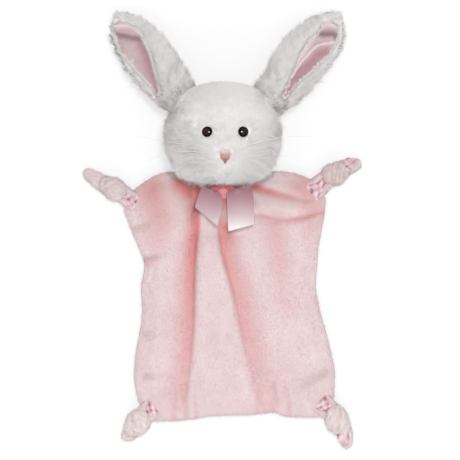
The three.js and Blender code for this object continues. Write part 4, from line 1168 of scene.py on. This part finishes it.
def blanket_height(places, rim):
    """Level of the plush face, how deep the painted shade of folds and under the chin is at each place, and
    how much painted shadow greys it there.
    """
    gap, _, _ = path_gap(places, rim)
    rise, hollow, painted_fold_shadow = fold_relief(places)
    rise += 0.5 * ripple(places, 42, 7) + 0.22 * ripple(places, 13, 8)
    rolled = np.sqrt(np.clip(1 - (1 - np.clip(gap / RIM_ROLL, 0, 1)) ** 2, 0, 1))
    face = np.maximum(RIM_HIGH + step(gap, 0, 15) * (SHEET_HIGH - RIM_HIGH + rise), RIM_HIGH - 0.6)
    start = SHEET_LOW + RIM_START
    face = start + (face - start) * rolled
    total = SOFT_JOIN * np.logaddexp(face / SOFT_JOIN, gather_top(places) / SOFT_JOIN)
    # Painted shade round the neck, under the chin
    near_neck = np.exp(-(np.hypot(places[:, 0] - NECK_X, (places[:, 1] - NECK_Y) * 1.1) / 15) ** 2)
    hollow = np.clip(np.maximum(hollow, 0.95 * near_neck), 0, 1)
    return np.maximum(total - 0.05 * SOFT_JOIN, face), hollow, painted_fold_shadow


def eased(count):
    """Shares from 0 to 1, closer together near both ends."""
    t = np.linspace(0, 1, count)
    return 0.35 * t + 0.65 * (0.5 - 0.5 * np.cos(math.pi * t))


def on_line(line, share):
    """The place at a share of a line's points."""
    return np.stack([np.interp(share, np.linspace(0, 1, len(line)), line[:, k]) for k in (0, 1)], axis=-1)


def blanket_places(across, down):
    """A grid of places between the four sides, closer together near the edges."""
    top, right, bottom, left = blanket_edges(60)
    u, v = eased(across), eased(down)
    a, b, c, d = top[0], top[-1], bottom[-1], bottom[0]
    upper, lower = on_line(top, u)[None], on_line(bottom[::-1], u)[None]
    west, east = on_line(left[::-1], v)[:, None], on_line(right, v)[:, None]
    uu, vv = u[None, :, None], v[:, None, None]
    corner = (1 - uu) * (1 - vv) * a + uu * (1 - vv) * b + (1 - uu) * vv * c + uu * vv * d
    return (1 - vv) * upper + vv * lower + (1 - uu) * west + uu * east - corner


def blanket_sheet(across, down, level):
    """A grid sheet moulded to the blanket's outline; level() gives every place its height."""
    places = blanket_places(across + 1, down + 1).reshape(-1, 2)
    height = level(places)

    def seat(flat):
        k = round(flat.y * down) * (across + 1) + round(flat.x * across)
        return Vector((*places[k], height[k]))

    return sheet_of(across, down, seat)


def plant_blanket_nap(front, rim):
    """Short pile on the plush face, in a left and a right half, closest along the rim."""
    spot, up = roots_on(front, 4.0, 51)
    by_rim = path_gap(spot[:, :2], rim)[0] < 2.5
    thin = np.random.default_rng(57).random(len(spot))
    face = (up[:, 2] > -0.4) & (spot[:, 2] > 1.2) & (thin < np.where(by_rim, 0.66, 0.43))
    spot, up, by_rim = spot[face], up[face], by_rim[face]
    # The nap takes the painted shade of the plush under it
    _, deep, _ = blanket_height(spot[:, :2], rim)
    lean = np.stack([0.35 * ripple(spot, 30, 52), -0.9 + 0.3 * ripple(spot, 26, 53), 0 * spot[:, 0]], axis=1)
    lean = 0.9 * up + 0.5 * on_surface(lean, up)
    length = np.where(by_rim, 2.3, 1.9)
    halves = {"left": spot[:, 0] < BLANKET_SHIFT, "right": spot[:, 0] >= BLANKET_SHIFT}
    return [plant(f"blanket_nap_{label}", spot[here], up[here], lean[here], length[here], 0.55, "nap",
                  "blanket",
                  deep[here], strand=SHORT_STRAND, seed=54) for label, here in halves.items()]


def build_blanket():
    """The plush front with its folds and its nap, and the satin back under it."""
    rim = np.concatenate([line[:-1] for line in blanket_edges(60)])
    rim = np.concatenate([rim, rim[:1]])
    front = thicken(blanket_sheet(150, 170, lambda places: blanket_height(places, rim)[0]), 1.2)
    front = settle("blanket_plush_sheet", front, "blanket", "blanket", ("blanket_front",))
    _, hollow, painted_fold_shadow = blanket_height(places_of(front)[:, :2], rim)
    # Painted pink shade in folds and under the chin, and painted grey shadow in some folds
    mark(front, "hollow", hollow)
    mark(front, "painted_fold_shadow", painted_fold_shadow)

    def under(places):
        wave = 0.5 + 0.5 * np.clip(ripple(places, 26, 9), -1, 1)
        return 0.35 + 0.5 * step(path_gap(places, rim)[0], 0, 6) * wave

    back = thicken(blanket_sheet(90, 100, under), -0.8)
    back = settle("blanket_satin_sheet", back, "back_satin", "blanket", ("blanket_back",))
    pieces = plant_blanket_nap(front, rim)


# Tied corners, each in its own frame: X out from the throat, Y sideways, Z up. Creases run round
# the knot: where along it, how far they slant, how deep and how wide, in millimetres
CORNERS = {
    "top_left": {"seat": (-74.592, -14.422), "out": (-0.913532, 0.406767), "reach": 1.02, "shift": -0.16,
                 "tip": (1.06, -0.19), "width": 16.5, "girth": 0.84, "shade": 0.14,
                 "creases": [(3.0, 5.5, 0.5, 1.3), (-4.0, -3.5, 0.3, 1.2), (9.5, 3.0, 0.3, 1.4)]},
    "top_right": {"seat": (76.398, -5.014), "out": (0.790121, 0.612951), "reach": 1.3, "shift": 0.1,
                  "tip": (1.01, -0.115), "width": 19.6, "girth": 0.88, "shade": 0.3,
                  "creases": [(-4.5, 8.0, 0.5, 1.0), (-0.5, 9.0, 0.6, 1.0), (4.0, 8.5, 0.5, 1.0),
                              (9, 5.0, 0.4, 1.2)]},
    "bottom_right": {"seat": (82.992, -178.67), "out": (0.801452, -0.598059), "reach": 0.96, "shift": -0.04,
                     "tip": (0.855, -0.4), "width": 20.8, "girth": 0.95, "shade": 0.0,
                     "creases": [(-2.0, -5.5, 0.4, 1.2), (5.0, -6.0, 0.5, 1.3)]},
    "bottom_left": {"seat": (-59.304, -182.492), "out": (-0.771373, -0.636383), "reach": 0.84, "shift": 0.06,
                    "tip": (0.735, 0.135), "width": 20.3, "girth": 0.92, "shade": 0.0,
                    "creases": [(-3.0, 5.0, 0.3, 1.4), (4.5, 5.5, 0.45, 1.4)]},
}
KNOT_REACH, KNOT_LENGTH, KNOT_WIDTH, KNOT_HEIGHT = 13.6, 23.0, 22.0, 15.0
TIP_WIDTH, TIP_HEIGHT, TIP_REACH = 12.0, 8.0, 40.0
KNOT_ROWS = [(0, 0.26), (0.03, 0.44), (0.08, 0.62), (0.16, 0.8), (0.28, 0.95), (0.4, 1), (0.54, 0.96),
             (0.68, 0.84),
             (0.8, 0.7), (0.9, 0.56), (0.97, 0.4), (1, 0.2)]
TIP_ROWS = [(0.2, 1.2, 1.2), (0.45, 1.1, 1.1), (0.65, 0.98, 1), (0.82, 0.84, 0.85), (0.93, 0.62, 0.62),
            (1, 0.26, 0.3)]
SATIN_TUCKS = {"top_right": (0.42, 0.84, 0.24, 0.4), "bottom_right": (0.36, 0.92, -0.08, 1.0)}


class CornerFrame:
    """Turns a corner's own places into places on the whole object."""

    def __init__(self, name):
        corner = CORNERS[name]
        self.seat = Vector((*corner["seat"], 0))
        self.out = Vector((*corner["out"], 0))
        self.side = Vector((-self.out.y, self.out.x, 0))
        self.start = np.array((corner["reach"] * KNOT_REACH, corner["shift"] * KNOT_WIDTH))
        line = np.array(corner["tip"]) * TIP_REACH - self.start
        self.line, self.across = line, np.array((-line[1], line[0])) / np.linalg.norm(line)

    def place(self, x, y, z):
        """A place out from the throat, sideways and up, never under the resting plane."""
        return self.seat + self.out * x + self.side * y + Vector((0, 0, max(0.3, z)))

    def bend(self, piece, name):
        """Bakes a piece's place into its mesh."""
        ends = [tuple((self.place(x, 0, 6.0)) * MM) for x in (-4.0, 4.0)]
        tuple(ends[0])
        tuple(ends[1])
        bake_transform(piece)

    def tail_place(self, share, off, z):
        """A place at a share of the tail's line, off it sideways, and up."""
        at = self.start + self.line * share + self.across * off
        return self.place(at[0], at[1], z)


def build_throat(name, tie, seed):
    """The satin drawn together into pleats between the blanket and the knot."""
    width = CORNERS[name]["width"]
    folds = []

    def throat(share, cosine, sine):
        half = width / 2 * (1.0 - 0.4 * share)
        turn = math.atan2(sine, cosine)
        waves = math.cos(5 * turn + 1.7 * seed + 5 * share)
        waves += 0.9 * math.cos(9 * turn - 2.3 * seed - 8 * share)
        ruffle = math.cos(16 * share + 5 * turn + seed)
        fold = (waves / 1.9 + 0.8 * ruffle) / 1.4
        folds.append((fold, share))
        swell = 1 + 0.16 * fold * (0.5 + 0.5 * share)
        return tie.place(-6.0 + (tie.start[0] - KNOT_LENGTH / 2 + 11.0) * share,
                         tie.start[1] * share + half * cosine * (0.5 + 0.5 * swell),
                         3.6 + (3.6 + 2.2 * share) * sine * swell)

    piece = settle(f"corner_{name}_throat", tube(120, 48, throat), "throat_satin", None,
                   (f"corner_{name}_satin",))
    fold, share = np.array(folds).T
    # Painted shade between the pleats and towards the knot, and painted highlight on the pleats
    mark(piece, "hollow", np.maximum(0.7 * step(-fold, 0.35, 0.8), 0.85 * step(share, 0.72, 0.9)))
    mark(piece, "painted_highlight", 0.75 * step(fold, 0.25, 0.8) * (1 - step(share, 0.7, 0.85)))
    tie.bend(piece, name)


def build_knot(name, tie, seed):
    """The knot: the cloth wrapped round itself, each crease with a swell beside it."""
    corner = CORNERS[name]
    painted_shades = []

    def lump(share, cosine, sine):
        x = (share - 0.42) * KNOT_LENGTH
        swell = along(KNOT_ROWS, share)
        grow = 0.2 * math.cos(5 * math.atan2(sine, cosine) + 0.5 * x + seed)
        grow += 0.12 * math.cos(1.1 * x + 3 * cosine + 2 * seed) + 0.1 * math.cos(9 * sine - 0.7 * x + seed)
        deepest = 0.0
        for place, slant, depth, wide in corner["creases"]:
            wrap = x - place - slant * cosine - 0.3 * slant * sine
            groove = 0.8 * depth * math.exp(-(wrap / wide) ** 2)
            grow -= groove - 0.5 * depth * math.exp(-((wrap - 2.2 * wide) / (1.6 * wide)) ** 2)
            deepest = max(deepest, groove)
        painted_shades.append(corner["shade"] + 0.55 * deepest)
        half = KNOT_WIDTH / 2 * corner["girth"] * swell + grow * swell
        aside = tie.start[1] + tie.line[1] * 0.35 * share
        return tie.place(tie.start[0] + x, aside + half * cosine,
                         KNOT_HEIGHT / 2 - 0.6 + (KNOT_HEIGHT / 2 * 0.94 * swell + grow - 0.6) * sine)

    knot = settle(f"corner_{name}_lump", tube(84, 72, lump), "knot", f"corner_{name}",
                  (f"corner_{name}_knot",))
    # Painted shade in the creases and over a shaded corner
    mark(knot, "hollow", np.clip(painted_shades, 0, 1))
    return knot


def build_lip(name, tie, hand):
    """The blanket's plush edge drawn in beside the satin, up to the knot."""
    corner = CORNERS[name]
    label = "upper" if (hand > 0) == (tie.side.y > 0) else "lower"
    first = np.array((-9.5, hand * (corner["width"] * 0.5 - 2.0)))
    last = np.array((tie.start[0] - 4.5, tie.start[1] + hand * KNOT_WIDTH * corner["girth"] * 0.22))

    def lip(share, cosine, sine):
        at = first + (last - first) * share - (0, hand * 0.8 * math.sin(math.pi * share))
        wide = 2.6 + 0.7 * share + 0.2 * math.cos(3 * share * math.pi + hand)
        return tie.place(at[0], at[1] + wide * cosine, 2.2 + 4.6 * share + wide * sine)

    return settle(f"corner_{name}_lip_{label}", tube(36, 30, lip), "blanket", None)


def build_tail(name, tie):
    """The corner's tip beyond the knot, with one fold along it."""
    def tail(share, cosine, sine):
        s = 0.12 + 0.88 * share
        wide, high = along(TIP_ROWS, s, 1), along(TIP_ROWS, s, 2)
        crease = 0.22 * math.exp(-((cosine - 0.25 + 0.3 * share) / 0.2) ** 2) if sine > 0 else 0
        fold = 1 - crease * min(1, 2 * share + 0.3)
        off = cosine * wide * TIP_WIDTH / 2 + 0.7 * math.sin(math.pi * share)
        return tie.tail_place(s, off, TIP_HEIGHT / 2 - 0.5 + high * sine * fold * TIP_HEIGHT / 2)

    piece = settle(f"corner_{name}_tail", tube(48, 48, tail), "knot", f"corner_{name}",
                   (f"corner_{name}_tip",))
    # Painted shade over the whole tail, as much as its corner's
    mark(piece, "hollow", np.full(len(piece.data.vertices), CORNERS[name]["shade"]))
    return piece


def plant_corner_nap(name, tie, piece, label, seed):
    """Pile on one piece of a corner, leaning out to its tip."""
    finish, body = ("nap", None) if label.startswith("lip") else ("knot_nap", f"corner_{name}")
    spot, up = roots_on(piece, 2.8, 60 + seed)
    free = spot[:, 2] > 0.6
    spot, up = spot[free], up[free]
    lean = on_surface(np.array(tie.out) + 0.5 * swirl(spot, (12, 12, 12), 61), up)
    shade = np.clip(CORNERS[name]["shade"] * (1 + 0.5 * ripple(spot, 6, 65)), 0, 1)
    # The corner's shade is painted into the nap's colour
    nap = plant(f"corner_{name}_{label}_nap", spot, up, 0.8 * up + unit(lean), np.full(len(spot), 2.6), 0.46,
                finish,
                body, shade, strand=SHORT_STRAND, seed=64 + seed, rise=0.2, tuft=6, glow=0.6)
    if body is None:
        tie.bend(nap, name)


def build_corner(name, seed):
    """A tied corner: satin throat, knot, two plush lips, tip and pile."""
    tie = CornerFrame(name)
    build_throat(name, tie, seed)
    knot = build_knot(name, tie, seed)
    lips = [build_lip(name, tie, hand) for hand in (-1, 1)]
    tail = build_tail(name, tie)
    for piece in lips:
        tie.bend(piece, name)
    for piece, label in ((knot, "knot"), (tail, "tail"), (lips[0], "lip_1"), (lips[1], "lip_2")):
        plant_corner_nap(name, tie, piece, label, seed)
    if name in SATIN_TUCKS:
        build_tuck(name, tie)


def build_tuck(name, tie):
    """The strip of satin that shows along a tail, folded over itself."""
    first, last, aside, bright = SATIN_TUCKS[name]

    def strip(flat):
        s = first + (last - first) * flat.x
        wide = TIP_WIDTH / 2 * (0.3 + 0.45 * math.sin(math.pi * flat.x))
        off = aside * TIP_WIDTH + wide * (2 * flat.y - 1)
        rise = 1.0 * math.exp(-((flat.y - 0.25) / 0.12) ** 2) + 0.8 * math.exp(-((flat.y - 0.75) / 0.15) ** 2)
        dome = math.sqrt(max(0, 1 - (off / (TIP_WIDTH / 2 + 2)) ** 2))
        return tie.tail_place(s, off, TIP_HEIGHT / 2 + TIP_HEIGHT / 2 * dome + 0.4 + rise)

    tuck = settle(f"corner_{name}_satin_tuck", thicken(sheet_of(24, 26, strip), -0.5), "throat_satin",
                  f"corner_{name}")
    local = places_of(tuck) - np.array(tie.seat)
    flat = local[:, :2] @ np.array(((tie.out.x, tie.side.x), (tie.out.y, tie.side.y))) - tie.start
    reached = (flat @ tie.line / (tie.line @ tie.line) - first) / (last - first)
    off = (flat @ tie.across - aside * TIP_WIDTH) / (TIP_WIDTH / 2)
    # Painted highlight across the fold and painted shade in its gap
    mark(tuck, "painted_highlight", bright * np.exp(-((reached - 0.42 + 0.3 * off) / 0.17) ** 2))
    mark(tuck, "hollow", 0.95 * np.exp(-((reached - 0.12 + 0.3 * off) / 0.11) ** 2) + 0.6 * step(off, 0.5,
                                                                                                 0.75))


# Neck and bow
BAND_Y, BAND_HALF, BAND_OUTER = -6.45, 3.25, 10.1
BOW_CENTRE = (0.8, -8.7, 31.667)
RIBBON_WIDTH = 19.0
SHADE_START, SHADE_END = -5.0, -35.0
TAILS = {
    "left": [(-0.8, 0.32, -0.12, 0.02, 0), (-0.93, 0.24, -0.03, -0.18, -0.01),
             (-1.03, -0.04, 0.0, -0.42, -0.08),
             (-1.12, -0.32, -0.1, -0.9, -0.18), (-1.18, -0.56, -0.25, -1.33, -0.3)],
    "right": [(0.95, 0.36, 0.12, 0.02, 0), (1.2, 0.26, 0.16, -0.2, -0.01), (1.29, -0.25, 0.18, -0.6, -0.1),
              (1.31, -0.8, 0.2, -1.1, -0.28), (1.3, -1.29, 0.23, -1.58, -0.46)],
}


def build_neck():
    """The stuffed neck and the ribbon round it."""
    def plug(share, cosine, sine):
        y = -9.8 + 24 * share
        ring = NECK_RADIUS - 0.5
        return (NECK_X + ring * cosine, y, NECK_Z + ring * sine)

    neck = settle("neck_stuffed", tube(40, 24, plug), "neck", "neck", ("neck_plug",))

    def band(flat):
        turn = 2 * math.pi * flat.x
        v = 2 * flat.y - 1
        ring = BAND_OUTER - 0.15 + 0.3 * math.cos(9 * turn) * v * v
        ring += 0.25 * math.cos(3 * v * math.pi + 4 * turn)
        return (NECK_X + ring * math.sin(turn), BAND_Y + BAND_HALF * v, NECK_Z + ring * math.cos(turn))

    shape = sheet_of(120, 14, band)
    bmesh.ops.remove_doubles(shape, verts=shape.verts, dist=1e-4)
    ribbon = settle("neck_band", thicken(shape, 0.5), "ribbon", "blanket", ("neck_ribbon",))
    # The whole band is painted deep pink: painted shade under the chin
    mark(ribbon, "hollow", np.ones(len(ribbon.data.vertices)))


def build_bow():
    """The bow's knot and its two tails."""
    def knot(share, cosine, sine):
        y = 2 * share - 1
        swell = math.sqrt(max(0, 1 - y * y)) ** 0.7
        fold = 1 - 0.14 * sum(math.exp(-((cosine - at) / 0.12) ** 2) for at in (0.35, -0.3))
        return (BOW_CENTRE[0] + 5.0 * swell * cosine * (1 - 0.2 * y * y), BOW_CENTRE[1] + 4.5 * y,
                BOW_CENTRE[2] - 0.4 + 0.9 * swell * sine * fold)

    wrap = settle("bow_knot_wrap", tube(48, 32, knot), "ribbon", "blanket", ("bow_knot",))
    # The whole knot is painted deep pink: painted shade under the chin
    mark(wrap, "hollow", np.ones(len(wrap.data.vertices)))
    for side, rows in TAILS.items():
        rows = np.array(rows) * RIBBON_WIDTH
        at = np.linspace(0, 1, len(rows))

        def ribbon(flat):
            u, v = flat.x, flat.y
            outer_x, outer_y, inner_x, inner_y, level = (np.interp(v, at, rows[:, k]) for k in range(5))
            cup = 0.8 * (2 * u - 1) ** 2 - 0.8 * math.sin(math.pi * v) * (1 - (2 * u - 1) ** 2)
            curl = 0.8 * math.exp(-(v / 0.3) ** 2) * math.cos(2 * math.pi * u)
            return (BOW_CENTRE[0] + outer_x + (inner_x - outer_x) * u,
                    BOW_CENTRE[1] + outer_y + (inner_y - outer_y) * u,
                    BOW_CENTRE[2] + level + 0.4 + cup + curl)

        tail = settle(f"bow_tail_{side}_ribbon", thicken(sheet_of(30, 44, ribbon), 0.35), "ribbon", None,
                      (f"bow_tail_{side}",))
        down = places_of(tail)[:, 1]
        # Painted shadow of the chin, darkest at the top of each tail
        mark(tail, "painted_shadow", np.clip((down - SHADE_END) / (SHADE_START - SHADE_END), 0, 1) ** 0.6)
        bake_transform(tail)


# Floor, camera and light
CAMERA_HEIGHT = 4.0
FRAME_WIDTH, FRAME_LEVEL = 0.368, 0.012
VIEW_CENTRE = (0.0064, -0.0376)
# Name, place, width in metres and power of each lamp, and the place they shine on
LAMPS = [("key_lamp", (0.2, 0.45, 2.9), 0.45, 34.5), ("chin_lamp", (0.15, -1.9, 1.5), 1.4, 9.5)]
LIT_PLACE = (0, -0.02, 0)


def studio_finish():
    """White floor: evenly bright to the camera, and matt for the light that it throws back."""
    material = bpy.data.materials.new("studio_white")
    material.use_nodes = True
    tree = material.node_tree
    tree.nodes.clear()
    ray = put(tree, "ShaderNodeLightPath").outputs
    seen = sums(tree, "MAXIMUM", ray["Is Camera Ray"], ray["Is Glossy Ray"])
    matt = put(tree, "ShaderNodeBsdfDiffuse", Color=tone(236, 236, 238))
    faint = put(tree, "ShaderNodeBsdfDiffuse", Color=tone(176, 176, 178))
    glow = put(tree, "ShaderNodeEmission", Color=(1, 1, 1, 1), Strength=0.56)
    both = put(tree, "ShaderNodeAddShader")
    pick = put(tree, "ShaderNodeMixShader", Fac=seen)
    end = put(tree, "ShaderNodeOutputMaterial")
    for node, socket in ((faint, both.inputs[0]), (glow, both.inputs[1]), (matt, pick.inputs[1]),
                         (both, pick.inputs[2]), (pick, end.inputs["Surface"])):
        tree.links.new(node.outputs[0], socket)
    return material


def build_stage():
    """The floor, the camera straight above, two lamps, and an even light all round."""
    scene = bpy.context.scene
    shape = bmesh.new()
    bmesh.ops.create_grid(shape, x_segments=8, y_segments=8, size=3,
                          matrix=Matrix.Translation((*VIEW_CENTRE, -0.0006)))
    mesh = bpy.data.meshes.new("studio_floor")
    shape.to_mesh(mesh)
    shape.free()
    mesh.materials.append(studio_finish())
    add_object("studio_floor", mesh)
    lens = bpy.data.cameras.new("camera")
    lens.lens = lens.sensor_width * (CAMERA_HEIGHT - FRAME_LEVEL) / FRAME_WIDTH
    lens.clip_start, lens.clip_end = 0.1, 50
    scene.camera = add_object("camera", lens, (*VIEW_CENTRE, CAMERA_HEIGHT))
    for name, place, width, power in LAMPS:
        light = bpy.data.lights.new(name, "AREA")
        light.shape, light.size, light.energy = "DISK", width, power
        turn = (Vector(LIT_PLACE) - Vector(place)).to_track_quat("-Z", "Y")
        add_object(name, light, place).rotation_euler = turn.to_euler()
    scene.world = bpy.data.worlds.new("studio")
    scene.world.use_nodes = True
    tree = scene.world.node_tree
    sky = tree.nodes["Background"].inputs
    sky["Color"].default_value = (1, 1, 1, 1)
    glossy = put(tree, "ShaderNodeLightPath").outputs["Is Glossy Ray"]
    feed(tree, sky["Strength"], sums(tree, "MULTIPLY_ADD", glossy, -0.45, 0.62))
    scene.view_settings.view_transform = "Standard"


build_stage()
build_blanket()
for seed, corner_name in enumerate(CORNERS):
    build_corner(corner_name, seed)
build_neck()
build_bow()
build_head()
build_eyes()
build_nose()
build_whiskers()
for ear_side in EARS:
    build_ear(ear_side)
